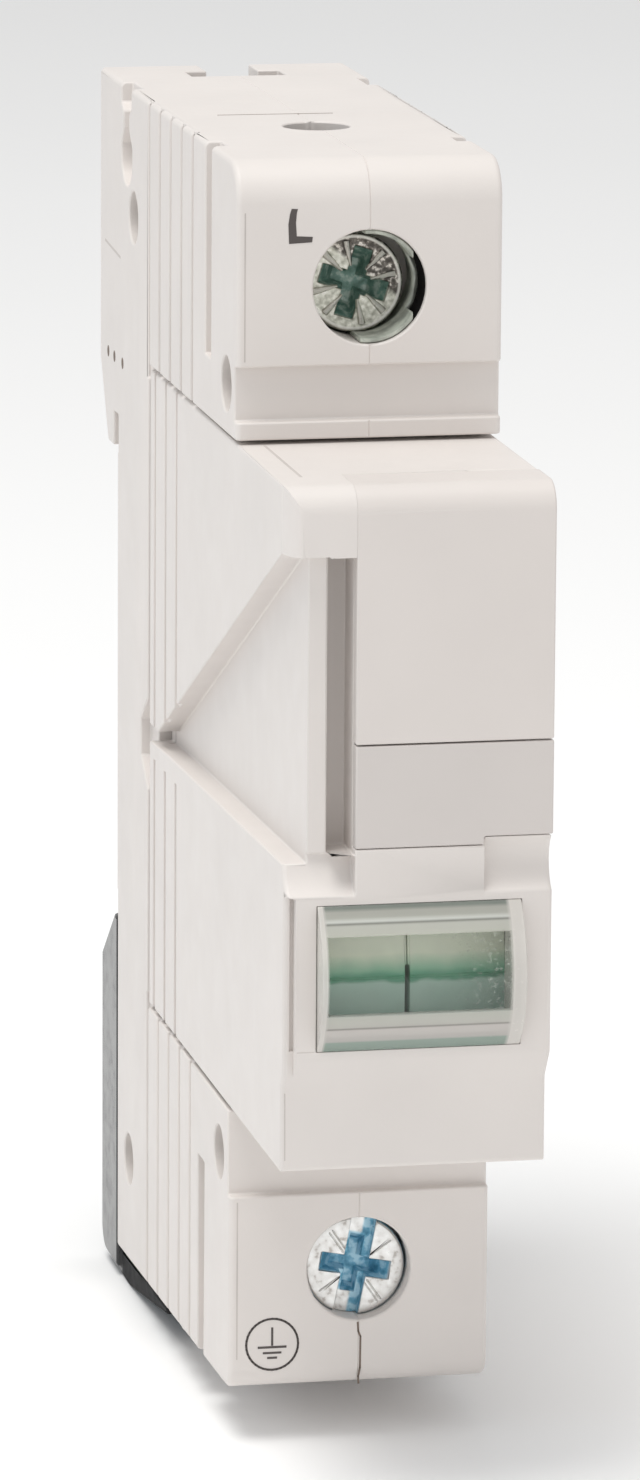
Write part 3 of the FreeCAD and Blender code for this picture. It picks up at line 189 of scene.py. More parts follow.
def roll_edges(piece, radius, segments=2, share=None):
    """Rolls the sharp edges over by a radius in millimetres, or by a share of it for each edge."""
    sharp = math.radians(38)
    work = bmesh.new()
    work.from_mesh(piece.data)
    weight = work.edges.layers.float.new("bevel_weight_edge")
    for edge in work.edges:
        if len(edge.link_faces) == 2 and edge.calc_face_angle() > sharp:
            ends = [vertex.co / MM for vertex in edge.verts]
            edge[weight] = share(*ends) if share else 1.0
    work.to_mesh(piece.data)
    work.free()
    bevel = piece.modifiers.new("rolled edges", "BEVEL")
    bevel.limit_method = "WEIGHT"
    bevel.width = radius * MM
    bevel.segments = segments
    bevel.use_clamp_overlap = False
    bevel.miter_outer = "MITER_ARC"
    return piece


def fix(piece, body, slot_name, *nodes):
    """Lets a piece ride with a body and stand for solids of the frame. The finish slot's name is
    not used.
    """
    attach(piece, body)
    if nodes:
        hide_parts(*nodes)
    return piece


def softened(name, node, material, radius, body, slot_name, share=None):
    """A piece that takes the place of a plain solid, with its edges rolled over."""
    piece = piece_of(name, *welded(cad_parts[node].data), material)
    roll_edges(piece, radius, share=share)
    return fix(piece, body, slot_name, node)


def off_seam(first, last):
    """The halves keep their edges sharp where they close on each other."""
    near_seam = 0.12
    return 0.0 if abs(first.x) < near_seam and abs(last.x) < near_seam else 1.0


housing = moulded("light grey nylon", (0.735, 0.69, 0.66), 0.965, (0.42, 0.56))
for side in ("left", "right"):
    softened(f"half_shell_{side}", f"base_shell_{side}", housing, 0.12, "base", "housing", off_seam)

# RIVETS
# Four nickelled tubular rivets close the base: a domed head on the left, a rolled end on the
# right, both deep in their wells.


def turned(name, profile, material, centre, axis="Y", steps=64):
    """A turned piece: its radius and place along the axis, in millimetres, swept round."""
    points, rings = [], []
    for radius, along in profile:
        ring = []
        for step in range(steps if radius else 1):
            angle = 2 * math.pi * step / steps
            across, up = radius * math.cos(angle), radius * math.sin(angle)
            spot = {"X": (along, across, up), "Y": (across, along, up),
                    "Z": (across, up, along)}[axis]
            ring.append(len(points))
            points.append(Vector(spot) + Vector(centre))
        rings.append(ring)
    faces = []
    for first, last in zip(rings, rings[1:]):
        for step in range(steps):
            following = (step + 1) % steps
            face = [first[step % len(first)], first[following % len(first)],
                    last[following % len(last)], last[step % len(last)]]
            faces.append(list(dict.fromkeys(face)))
    return piece_of(name, points, faces, material)


def metal(name, colour, rough, stain, stain_size=1.5 * MM, stretch=(1, 1, 1)):
    """Plated or bare metal: cloudy tone, a dull film in patches and fine drawn lines."""
    material, tree, shader, place = nodes_of(name)
    film = noise(tree, place, stain_size, detail=5.0)
    tree.links.new(ramp(tree, film, (0.35, stain), (0.62, colour)), shader.inputs["Base Color"])
    tree.links.new(spread(tree, film, rough[1], rough[0]), shader.inputs["Roughness"])
    drawn_lines = noise(tree, place, 0.15 * MM, detail=2.0, stretch=stretch)
    raise_grain(tree, shader, drawn_lines, 0.002 * MM)
    shader.inputs["Metallic"].default_value = 1.0
    return material


def joined(name, pieces):
    """Several loose meshes as one object."""
    work = bmesh.new()
    for piece in pieces:
        work.from_mesh(piece.data)
    first = pieces[0]
    mesh = first.data.copy()
    work.to_mesh(mesh)
    work.free()
    whole = bpy.data.objects.new(name, mesh)
    bpy.context.scene.collection.objects.link(whole)
    for piece in pieces:
        bpy.data.objects.remove(piece)
    return whole


nickel = metal("nickelled rivet", (0.56, 0.53, 0.48), (0.28, 0.5), (0.36, 0.33, 0.29))
rivet_head = [(0, -7.2), (0.55, -7.17), (1.05, -7.03), (1.45, -6.78), (1.66, -6.52), (1.7, -6.4),
              (1.0, -6.4)]
rolled_end = [(1.0, 6.4), (1.7, 6.4), (1.7, 6.75), (1.5, 7.05), (1.2, 7.18), (0.95, 7.05),
              (0.75, 6.8), (0.7, 5.0), (0, 5.0)]
rivet_places = ((-6.2, 34.5), (-41.3, 28.3), (-4.8, -34.5), (-39.7, -25.0))
rivets = [turned("rivet", rivet_head + rolled_end, nickel, (0, depth, height), "X", 48)
          for depth, height in rivet_places]
fix(joined("tubular_rivets", rivets), "base", "rivet_steel", "shell_rivets")

# TERMINAL SCREWS
# Cold-formed steel screws with a combined cross and slot head and a rolled thread. The lower one
# is bright zinc with a blue passivated recess, the upper one is dulled olive and grimy.


def prism(name, corners, low, high, material, axis="Y", shrink=(1.0, 1.0)):
    """A block with the corners of its section, between two levels along an axis. Its far end may
    be smaller about the middle of the section."""
    middle = sum((Vector(corner) for corner in corners), Vector((0, 0))) / len(corners)
    points = []
    for level, factor in ((low, (1.0, 1.0)), (high, shrink)):
        for corner in corners:
            across = middle[0] + (corner[0] - middle[0]) * factor[0]
            up = middle[1] + (corner[1] - middle[1]) * factor[1]
            spot = {"X": (level, across, up), "Y": (across, level, up),
                    "Z": (across, up, level)}[axis]
            points.append(spot)
    count = len(corners)
    faces = [list(range(count)), list(range(count, 2 * count))]
    faces += [[i, (i + 1) % count, count + (i + 1) % count, count + i] for i in range(count)]
    return piece_of(name, points, faces, material)


def carve(target, tool, operation="DIFFERENCE"):
    """Cuts one solid out of another, or adds it, and leaves one plain mesh."""
    cut = target.modifiers.new("cut", "BOOLEAN")
    cut.operation = operation
    cut.solver = "EXACT"
    cut.object = tool
    bpy.context.view_layer.update()
    graph = bpy.context.evaluated_depsgraph_get()
    mesh = bpy.data.meshes.new_from_object(target.evaluated_get(graph))
    target.modifiers.clear()
    target.data = mesh
    bpy.data.objects.remove(tool)
    return target


def rewelded(name, piece, material, smooth=35):
    """The same mesh without the flat cuts that carving leaves."""
    whole = piece_of(name, *welded(piece.data), material, smooth)
    bpy.data.objects.remove(piece)
    return whole


def oblong(length, width, turn, centre, shift=(0.0, 0.0)):
    """The corners of a rectangle turned clockwise by degrees about a centre."""
    angle = math.radians(turn)
    corners = []
    for along, across in ((-1, -1), (-1, 1), (1, 1), (1, -1)):
        x = across * width / 2 + shift[0]
        z = along * length / 2 + shift[1]
        corners.append((centre[0] + x * math.cos(angle) + z * math.sin(angle),
                        centre[1] - x * math.sin(angle) + z * math.cos(angle)))
    return corners


def threaded(name, centre, radius, low, high, material):
    """A shank with a rolled thread along Y."""
    pitch, depth, steps = 0.8, 0.42, 40
    levels = math.ceil((high - low) / pitch * 8)
    points = []
    for level in range(levels + 1):
        along = low + (high - low) * level / levels
        for step in range(steps):
            turn = step / steps
            wave = abs(((along / pitch - turn) % 1) * 2 - 1)
            fade = min(1.0, (high - along) / 0.5 + 0.35)
            rim = (radius - depth * min(1.0, wave * 1.25)) * (0.86 + 0.14 * fade)
            angle = 2 * math.pi * turn
            points.append((centre[0] + rim * math.cos(angle), along,
                           centre[1] + rim * math.sin(angle)))
    faces = [list(range(steps)), list(range(levels * steps, (levels + 1) * steps))]
    for level in range(levels):
        for step in range(steps):
            following = (step + 1) % steps
            faces.append([level * steps + step, level * steps + following,
                          (level + 1) * steps + following, (level + 1) * steps + step])
    return piece_of(name, points, faces, material, 50)


def places_of(tree, place):
    """The three coordinates of the object in metres."""
    node = tree.nodes.new("ShaderNodeSeparateXYZ")
    tree.links.new(place, node.inputs["Vector"])
    return node.outputs


TILT = 11.0
LOW_FACE, LOW_HEIGHT = -42.6, -32.6
LOW_SLOT, LOW_CROSS = 0.9, 1.85
bright_zinc, tree, shader, place = nodes_of("bright zinc with blue recess")
x, y, z = places_of(tree, place)
grime = noise(tree, place, 0.5 * MM, detail=6.0)
face_tone = ramp(tree, grime,
                 (0.28, (0.50, 0.47, 0.44)), (0.42, (0.76, 0.75, 0.73)), (0.7, (0.86, 0.86, 0.85)))
blue_tone = ramp(tree, noise(tree, place, 0.8 * MM, detail=6.0),
                 (0.34, (0.07, 0.24, 0.36)), (0.47, (0.16, 0.42, 0.58)), (0.58, (0.46, 0.70, 0.82)))
sunk = spread(tree, y, 0.0, 1.0, (LOW_FACE + 0.10) * MM, (LOW_FACE + 0.22) * MM)
turn = math.radians(TILT)
lift = worked(tree, "SUBTRACT", z, LOW_HEIGHT * MM)
across = worked(tree, "SUBTRACT", worked(tree, "MULTIPLY", x, math.cos(turn)),
                worked(tree, "MULTIPLY", lift, math.sin(turn)))
along = worked(tree, "ADD", worked(tree, "MULTIPLY", x, math.sin(turn)),
               worked(tree, "MULTIPLY", lift, math.cos(turn)))
outer = spread(tree, worked(tree, "ABSOLUTE", along), 0.0, 1.0, 2.0 * MM, 2.15 * MM)
# The left part of the slot's ends keeps the bright face colour instead of the blue, a painted
# highlight.
left_part = worked(tree, "MULTIPLY", spread(tree, across, 0.0, 1.0, -0.96 * MM, -0.90 * MM),
                   spread(tree, across, 1.0, 0.0, 0.12 * MM, 0.28 * MM))
slot_floor = LOW_FACE + LOW_SLOT
in_slot = spread(tree, y, 1.0, 0.0, (slot_floor + 0.02) * MM, (slot_floor + 0.1) * MM)
painted_slot_highlight = worked(tree, "MULTIPLY", left_part, worked(tree, "MULTIPLY", outer, in_slot))
tinted = worked(tree, "MULTIPLY", sunk, worked(tree, "SUBTRACT", 1.0, painted_slot_highlight))
tree.links.new(blended(tree, tinted, face_tone, blue_tone), shader.inputs["Base Color"])
tree.links.new(spread(tree, grime, 0.5, 0.27), shader.inputs["Roughness"])
tree.links.new(spread(tree, tinted, 1.0, 0.25, 0.0, 1.0), shader.inputs["Metallic"])
raise_grain(tree, shader, noise(tree, place, 0.12 * MM, detail=3.0), 0.006 * MM)

centre = (-0.05, LOW_HEIGHT - 0.1)
low_profile = [(0, 0), (3.1, 0), (3.3, 0.03), (3.42, 0.14), (3.47, 0.32), (3.47, 2.3), (3.35, 2.4),
               (0, 2.4)]
head = turned("head", low_profile, bright_zinc, (centre[0], LOW_FACE, centre[1]), steps=96)
carve(head, prism("cutter", oblong(7.0, 1.75, TILT, centre),
                  LOW_FACE - 1, LOW_FACE + LOW_SLOT, bright_zinc))
for turned_by in (TILT, TILT + 90):
    carve(head, prism("cutter", oblong(5.0, 1.3, turned_by, centre),
                      LOW_FACE - 0.02, LOW_FACE + LOW_CROSS, bright_zinc, shrink=(0.55, 0.62)))
tick_length, tick_width, tick_reach, tick_depth = 1.7, 0.07, 2.15, 0.07
for quarter in range(4):
    for shift in ((-0.13, 0.13) if quarter in (1, 3) else (0.0,)):
        tick = oblong(tick_length, tick_width, TILT + 45 + 90 * quarter, centre,
                      (shift, tick_reach))
        carve(head, prism("cutter", tick, LOW_FACE - 1, LOW_FACE + tick_depth, bright_zinc))
head = rewelded("head", head, bright_zinc, 30)
roll_edges(head, 0.05)
SHANK_RADIUS, SHANK_END = 2.45, -32.4
shank = threaded("shank", centre, SHANK_RADIUS, LOW_FACE + 2.3, SHANK_END, bright_zinc)


def one_of(name, pieces):
    """The pieces with their rolled edges as one object."""
    bpy.context.view_layer.update()
    graph = bpy.context.evaluated_depsgraph_get()
    for piece in pieces:
        mesh = bpy.data.meshes.new_from_object(piece.evaluated_get(graph))
        piece.modifiers.clear()
        piece.data = mesh
    return joined(name, pieces)


fix(one_of("lower_screw_bright", [head, shank]), "lower_screw", "screw_steel",
    "lower_terminal_screw")

TURN = 17.0
TOP_FACE, TOP_HEIGHT = -41.2, 35.1
OFF_RIGHT, OFF_UP = -0.28, -0.25
dull_zinc, tree, shader, place = nodes_of("dulled zinc with grime")
x, y, z = places_of(tree, place)
speckle = noise(tree, place, 0.35 * MM, detail=6.0)
face_tone = ramp(tree, speckle,
                 (0.32, (0.40, 0.40, 0.34)), (0.5, (0.60, 0.60, 0.52)), (0.68, (0.80, 0.79, 0.72)))
teal_tone = ramp(tree, noise(tree, place, 0.6 * MM, detail=4.0),
                 (0.35, (0.11, 0.21, 0.17)), (0.52, (0.19, 0.32, 0.27)), (0.64, (0.46, 0.56, 0.50)))
dark_tone = ramp(tree, speckle,
                 (0.42, (0.04, 0.03, 0.03)), (0.52, (0.14, 0.12, 0.11)), (0.60, (0.62, 0.58, 0.53)))
lift = worked(tree, "SUBTRACT", z, TOP_HEIGHT * MM)
upper_right = worked(tree, "ADD", worked(tree, "MULTIPLY", x, 0.6),
                     worked(tree, "MULTIPLY", lift, 0.8))
grimy = spread(tree, upper_right, 0.0, 0.85, 0.5 * MM, 0.8 * MM)
# The proud rim and ridges are painted near white and made less metallic, a painted highlight.
proud_highlight = spread(tree, y, 1.0, 0.0, (TOP_FACE + 0.08) * MM, (TOP_FACE + 0.14) * MM)
sunk = spread(tree, y, 0.0, 1.0, (TOP_FACE + 0.25) * MM, (TOP_FACE + 0.38) * MM)
tone = blended(tree, grimy, face_tone, dark_tone)
tone = blended(tree, proud_highlight, tone, (0.93, 0.92, 0.86))
tone = blended(tree, sunk, tone, teal_tone)
aside, rise = worked(tree, "ADD", x, -OFF_RIGHT * MM), worked(tree, "ADD", lift, -OFF_UP * MM)
square = worked(tree, "ADD", worked(tree, "MULTIPLY", aside, aside),
                worked(tree, "MULTIPLY", rise, rise))
rim = worked(tree, "MULTIPLY", spread(tree, square, 0.0, 1.0, (3.24 * MM) ** 2, (3.3 * MM) ** 2),
             spread(tree, y, 0.0, 1.0, (TOP_FACE + 0.3) * MM, (TOP_FACE + 0.4) * MM))
tone = blended(tree, rim, tone, (0.50, 0.52, 0.46))
tree.links.new(tone, shader.inputs["Base Color"])
tree.links.new(spread(tree, speckle, 0.55, 0.25), shader.inputs["Roughness"])
tree.links.new(spread(tree, worked(tree, "MAXIMUM", sunk, proud_highlight), 0.85, 0.2, 0.0, 1.0),
               shader.inputs["Metallic"])
raise_grain(tree, shader, noise(tree, place, 0.2 * MM, detail=4.0), 0.012 * MM)

centre = (OFF_RIGHT, TOP_HEIGHT + OFF_UP)
top_profile = [(0, 0.18), (2.9, 0.18), (3.05, 0.1), (3.2, 0.08), (3.32, 0.2), (3.35, 0.4),
               (3.35, 2.3), (3.25, 2.4), (0, 2.4)]
head = turned("head", top_profile, dull_zinc, (centre[0], TOP_FACE, centre[1]), steps=96)
for turned_by in (TURN, TURN + 90):
    carve(head, prism("cutter", oblong(5.1, 1.4, turned_by, centre), TOP_FACE, TOP_FACE + 1.9,
                      dull_zinc, shrink=(0.5, 0.6)))
head = rewelded("head", head, dull_zinc, 30)
roll_edges(head, 0.05)
ridges = []
for quarter in range(4):
    for lean in (-17, 17):
        angle = math.radians(90 - TURN - 45 - 90 * quarter + lean)
        outward = Vector((math.cos(angle), math.sin(angle)))
        sideways = Vector((-outward.y, outward.x))
        points = []
        for reach, half, rise in ((1.15, 0.1, 0.06), (2.0, 0.24, -0.03), (2.85, 0.34, -0.02)):
            for offset, depth in ((-half, 0.24), (0.0, rise), (half, 0.24)):
                spot = outward * reach + sideways * offset
                points.append((centre[0] + spot.x, TOP_FACE + depth, centre[1] + spot.y))
        faces = [[0, 1, 2], [6, 7, 8]]
        for start in (0, 3):
            faces += [[start + first, start + last, start + last + 3, start + first + 3]
                      for first, last in ((0, 1), (1, 2), (2, 0))]
        ridges.append(piece_of("ridge", points, faces, dull_zinc, 20))
shank = threaded("shank", centre, SHANK_RADIUS, TOP_FACE + 2.3, SHANK_END, dull_zinc)
fix(one_of("upper_screw_dull", [head, shank, *ridges]), "upper_screw", "screw_steel",
    "upper_terminal_screw")

# WELL SLEEVE
# A plated steel sleeve, pressed into the upper well, steadies the screw's head. Its front is cut
# away on the right, and there a thin black strip in the well's wall paints the shadow.
sleeve_zinc = metal("olive sleeve", (0.54, 0.57, 0.50), (0.32, 0.5), (0.30, 0.32, 0.28), 1.2 * MM)
sleeve_zinc.node_tree.nodes["Principled BSDF"].inputs["Metallic"].default_value = 0.1
sleeve_profile = [(3.5, 0), (3.5, 3.0), (3.7, 3.0), (3.7, 5.3), (3.8, 5.3), (3.8, 0),
                  (3.74, -0.1), (3.56, -0.1), (3.5, 0)]
WELL_LOW, WELL_HIGH, OPEN_SIDE = 30, 40, 3.0
sleeve = turned("well_sleeve", sleeve_profile, sleeve_zinc, (0, -44.5, TOP_HEIGHT), steps=96)
right_side = [(OPEN_SIDE, WELL_LOW), (5, WELL_LOW), (5, WELL_HIGH), (OPEN_SIDE, WELL_HIGH)]
left_side = [(-5, WELL_LOW), (-0.6, WELL_LOW), (-0.2, WELL_HIGH), (-5, WELL_HIGH)]
carve(sleeve, prism("cutter", right_side, -46, -42.3, sleeve_zinc))
carve(sleeve, prism("cutter", left_side, -46, -38, sleeve_zinc))
fix(sleeve, "base", "screw_steel")
# A thin black strip on the right of the well's wall, a painted shadow.
painted_well_shadow = moulded("painted shadow black", (0.006, 0.005, 0.005), 0.7, (0.7, 0.9), gloss=0.1)
shadow_strip_profile = [(3.8, 0), (3.8, 3.1), (3.846, 3.1), (3.846, 0), (3.8, 0)]
painted_shadow_strip = turned("well_painted_shadow", shadow_strip_profile, painted_well_shadow, (0, -44.55, TOP_HEIGHT), steps=96)
rest_of_well = [(-5, WELL_LOW), (OPEN_SIDE, WELL_LOW), (OPEN_SIDE, WELL_HIGH), (-5, WELL_HIGH)]
carve(painted_shadow_strip, prism("cutter", rest_of_well, -46, -40, painted_well_shadow))
fix(painted_shadow_strip, "base", "housing")

# CLAMP CAGES
# Each terminal has a square tube folded from zinc-plated steel strip round the end of the bar.
# The screw draws it forward, so that it clamps the wire.
cage_zinc = metal("plated strip", (0.66, 0.65, 0.60), (0.25, 0.42), (0.50, 0.48, 0.42), 2 * MM,
                  (1, 1, 8))
for level in ("upper", "lower"):
    softened(f"{level}_cage_folded", f"{level}_terminal_cage", cage_zinc, 0.18,
             f"{level}_cage", "cage_steel")

# BUSBARS AND SOCKETS
# Bars stamped from copper strip carry the current behind the bay, where sprung sockets grip the
# blades of the module.
copper = metal("drawn copper", (0.80, 0.45, 0.29), (0.22, 0.42), (0.52, 0.27, 0.17), 2.5 * MM,
               (6, 1, 1))
for level in ("upper", "lower"):
    softened(f"{level}_bar_stamped", f"{level}_busbar", copper, 0.12, "base", "copper")
    softened(f"{level}_socket_sprung", f"{level}_socket_clip", copper, 0.08, "base", "copper")

# RAIL CLIP
# The clip is a slider of black nylon behind the foot, polished at the back and dull at its tab. A
# return spring of round wire stands in its window and pushes it up against the rail.
clip_black, tree, shader, place = nodes_of("black nylon")
y = places_of(tree, place)["Y"]
dull = spread(tree, y, 1.0, 0.0, -0.4 * MM, 0.2 * MM)
tree.links.new(ramp(tree, noise(tree, place, 3 * MM),
                    (0.3, (0.008, 0.008, 0.009)), (0.7, (0.02, 0.019, 0.02))),
               shader.inputs["Base Color"])
scuff = noise(tree, place, 1.2 * MM, detail=5.0)
tree.links.new(worked(tree, "ADD", spread(tree, scuff, 0.10, 0.26),
                      worked(tree, "MULTIPLY", dull, 0.5)), shader.inputs["Roughness"])
tree.links.new(spread(tree, dull, 0.6, 0.15, 0.0, 1.0), shader.inputs["Specular IOR Level"])
raise_grain(tree, shader, noise(tree, place, 0.3 * MM), 0.004 * MM)
softened("rail_clip_black", "din_clip", clip_black, 0.25, "rail_clip", "clip_plastic")


def coil(name, centre, radius, wire, low, high, turns, material):
    """Round wire wound about an upright axis, with a closed turn at each end."""
    steps, section = 28, 10
    total = turns + 2
    closed = 2.0 * wire
    bottom, top = low + wire, high - wire
    points = []
    count = round(total * steps)
    for index in range(count + 1):
        turn = index / steps
        if turn < 1:
            height = bottom + closed * turn
        elif turn > total - 1:
            height = top - closed * (total - turn)
        else:
            height = bottom + closed + (top - bottom - 2 * closed) * (turn - 1) / turns
        angle = 2 * math.pi * turn
        for corner in range(section):
            around = 2 * math.pi * corner / section
            reach = radius + wire * math.cos(around)
            points.append((centre[0] + reach * math.cos(angle), centre[1] + reach * math.sin(angle),
                           height + wire * math.sin(around)))
    faces = [list(range(section)), list(range(count * section, (count + 1) * section))]
    for index in range(count):
        for corner in range(section):
            following = (corner + 1) % section
            faces.append([index * section + corner, index * section + following,
                          (index + 1) * section + following, (index + 1) * section + corner])
    return piece_of(name, points, faces, material, 60)


wire_steel = metal("spring wire", (0.50, 0.49, 0.47), (0.2, 0.4), (0.30, 0.28, 0.26), 0.8 * MM)
peg_top, window_top, spring_depth = -39.5, -29.0, 3.3
spring = coil("clip_return_spring", (0, spring_depth), 1.75, 0.28, peg_top, window_top, 5,
              wire_steel)
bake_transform(spring)
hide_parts("din_clip_spring")

# MODULE HOUSING
# The plug-in module is moulded in the same light grey: a core, a cover snapped on each side and
# the window's frame, so closely fitted that they read as one piece with rounded edges.
module_plastic = moulded("light grey module", (0.74, 0.695, 0.665), 0.965, (0.4, 0.54))


def bowed(first, last, height, steps=8):
    """Points of an arc between two corners, bowed to the right of the way by a height."""
    first, last = Vector(first), Vector(last)
    chord = last - first
    half = chord.length / 2
    radius = (half * half + height * height) / (2 * height)
    aside = Vector((chord.y, -chord.x)).normalized()
    centre = (first + last) / 2 - aside * (radius - height)
    sweep = math.asin(half / radius)
    along = chord.normalized()
    return [tuple(centre + along * radius * math.sin(angle) + aside * radius * math.cos(angle))
            for angle in (sweep * (2 * step / steps - 1) for step in range(steps + 1))]


def rect(low_across, high_across, low_up, high_up):
    """The corners of an upright rectangle."""
    return [(low_across, low_up), (high_across, low_up),
            (high_across, high_up), (low_across, high_up)]


FRONT, BACK, TOP, BOTTOM, FLANK = -62.2, -12.5, 24.7, -21.0, 8.9
CHIN, CHIN_TOP = -60.8, -15.3
RECESS_FLOOR, RECESS_TOP = 7.3, 20.2
BLOCK, SLOT_OUTER = 4.3, 6.0
FRAME_SIDE, FRAME_TOP = -8.2, -2.3
# cuts start and end clear of the shell
AHEAD, BEHIND, ABOVE, BESIDE = -63.2, -11.5, 26.0, 10.0
shell = prism("shell", [
    (CHIN, BOTTOM), (BACK, BOTTOM), (BACK, TOP),
    *reversed(bowed((FRONT, 22.9), (-60.4, TOP), -1.8 * 0.293, 12)),
    (FRONT, -13.3), (CHIN, CHIN_TOP),
], -FLANK, FLANK, module_plastic, "X")


def cut(axis, corners, low, high):
    """Takes a block out of the shell, between two levels along an axis."""
    carve(shell, prism("cutter", corners, low, high, module_plastic, axis))


def add(axis, corners, low, high):
    """Joins a block to the shell, between two levels along an axis."""
    carve(shell, prism("part", corners, low, high, module_plastic, axis), "UNION")


# the chamber for the varistors, the floors of the finger recesses, and the recesses themselves
cut("X", [(-59.1, -19.6), (-13.9, -19.6), (-13.9, 23.3), (-51.4, 23.3), (-51.4, -0.8),
          (-59.1, -0.8)], -7.7, 7.7)
for side in (-1, 1):
    add("X", [(-61.0, -2.02), (-19.0, -2.9), (-14.2, -2.9), (-14.2, 0.08), (-57.13, RECESS_TOP),
              (-61.0, RECESS_TOP)], *sorted((SLOT_OUTER * side, 8.3 * side)))
    cut("X", [(AHEAD, -0.2), (-19.0, -1.6), (BEHIND, -2.0), (BEHIND, -0.7), (-15.5, -0.7),
              (-60.2, RECESS_TOP), (AHEAD, RECESS_TOP)],
        *sorted((RECESS_FLOOR * side, BESIDE * side)))
    cut("X", rect(AHEAD, -61.0, -0.2, RECESS_TOP), *sorted((SLOT_OUTER * side, BESIDE * side)))
    for groove in range(3):
        middle = -14.3 - 4.12 * groove
        for low, high in ((-1.0, ABOVE), (-22.0, -3.0)):
            cut("X", rect(middle - 0.4, middle + 0.4, low, high),
                *sorted((8.55 * side, BESIDE * side)))
# the slots beside the middle block, the room of the label plates, the foot under them
cut("X", rect(AHEAD, -58.4, 0.4, 20.1), -SLOT_OUTER, -BLOCK)
cut("X", rect(AHEAD, -52.6, 1.4, 20.1), BLOCK, SLOT_OUTER)
cut("X", [(AHEAD, 0.8), (-61.1, 0.8), (-61.1, 23.6), (-57.0, 23.6), (-57.0, ABOVE),
          (AHEAD, ABOVE)], -4.31, BLOCK)
add("X", rect(FRONT, -59.7, -2.6, 1.4), 5.9, FLANK)
cut("X", [(AHEAD, 1.35), (-61.05, 1.35), (-61.05, 23.55), (-56.95, 23.55), (-56.95, ABOVE),
          (AHEAD, ABOVE)], BLOCK, BESIDE)
cut("X", [(AHEAD, FRAME_TOP), *bowed((FRONT, FRAME_TOP), (FRONT, 1.4), 0.95), (AHEAD, 1.4)],
    BLOCK, BESIDE)
cut("X", [(AHEAD, FRAME_TOP), *bowed((FRONT, FRAME_TOP), (-60.7, 0.4), 0.35), (AHEAD, 0.4)],
    -BESIDE, -BLOCK)
# the corner of the bridge, the step and the groove beside the frame
corner = []
for step in range(11):
    angle = step * math.pi / 20
    corner.append((-7.7 - 1.2 * math.sin(angle), -60.0 - 2.2 * math.cos(angle)))
cut("Z", [(-BESIDE, -64), (-7.7, -64), *corner, (-BESIDE, -60.0)], 19.2, ABOVE)
cut("X", [(AHEAD, FRAME_TOP), (-61.4, FRAME_TOP), (-61.4, -14.5), (CHIN, CHIN_TOP),
          (AHEAD, CHIN_TOP)], -BESIDE, FRAME_SIDE)
cut("X", rect(AHEAD, -61.15, -12.7, FRAME_TOP), -8.48, FRAME_SIDE)
# the window and the seat of its lens
cut("Y", rect(-6.85, 6.85, -12.65, -2.85), AHEAD, -58.0)
cut("Y", rect(-7.25, 7.25, -13.05, -2.6), -60.95, -59.0)
# the shaft for the sliders, grooves for the guiding tongues, cradles and holes for the blades
cut("Y", rect(-3.1, 3.1, -2.0, 21.0), -59.9, -50.4)
for low, high, floor, outside in ((22.1, 24.0, 23.6, ABOVE), (-20.3, -18.4, -22.0, -19.9)):
    add("Y", rect(-2.4, 2.4, low, high), -51.4, -13.2)
    cut("Y", rect(-1.2, 1.2, floor, outside), -42.3, BEHIND)
for front in (-40.0, -26.0):
    add("Y", rect(-5.2, 5.2, -20.3, -8.4), front, front + 1.6)
for middle in (14.0, -10.0):
    cut("Y", rect(-0.5, 0.5, middle - 3.5, middle + 3.5), -15.3, BEHIND)


def outline_share(first, last):
    """Outer edges are rolled over widely, the grooves and the inner edges only a little."""
    ends = (first, last)
    side_groove = all(-35 < end.y < -12.7 for end in ends) and abs(first.y - last.y) < 0.01
    bridge_corner = all(end.x < -7.6 and end.y < -59.95 and end.z > 19.1 for end in ends)
    by_plate = all(abs(end.x + 4.33) < 0.04 and end.z > 20.0 for end in ends)
    by_frame = all(-8.5 < end.x < -8.15 for end in ends)
    window = all(abs(end.x) < 7.3 and -13.1 < end.z < -2.5 and end.y < -58 for end in ends)
    flank = all(end.y < -60.3 and abs(end.x) > 8.85 for end in ends)
    outer = flank or all(end.z > 24.6 for end in ends)
    if side_groove:
        return 0.25
    if bridge_corner or by_plate or by_frame:
        return 0.0
    if window:
        return 0.1
    return 1.0 if outer else 0.4


plug = rewelded("module_shell_whole", shell, module_plastic)
roll_edges(plug, 0.3, 3, share=outline_share)
fix(plug, "module", "module_plastic", "module_body", "module_cover_left", "module_cover_right",
    "window_frame")

# LABEL PLATES
# Two thin satin plates of light grey plastic, moulded with plain faces and snapped into a shallow
# seat in the module's front. The lower one is coloured darker as painted shade.
satin = {"rough": (0.36, 0.46), "grain": 0.3 * MM, "depth": 0.003 * MM}
label = moulded("label plate", (0.71, 0.662, 0.632), 0.97, **satin)
# The lower plate is the same plastic coloured darker, a painted shade.
shaded_label = moulded("lower label plate in painted shade", (0.64, 0.597, 0.572), 0.97, **satin)


def plate_share(first, last):
    """The plate stays sharp where it meets the bridge."""
    by_bridge = max(first.x, last.x) < -4.2 and min(first.z, last.z) > 20.0
    return 0.0 if by_bridge else 1.0


softened("upper_plate_satin", "upper_label_panel", label, 0.12, "module", "label_plate",
         plate_share)
softened("lower_plate_satin", "lower_label_panel", shaded_label, 0.1, "module", "label_plate")
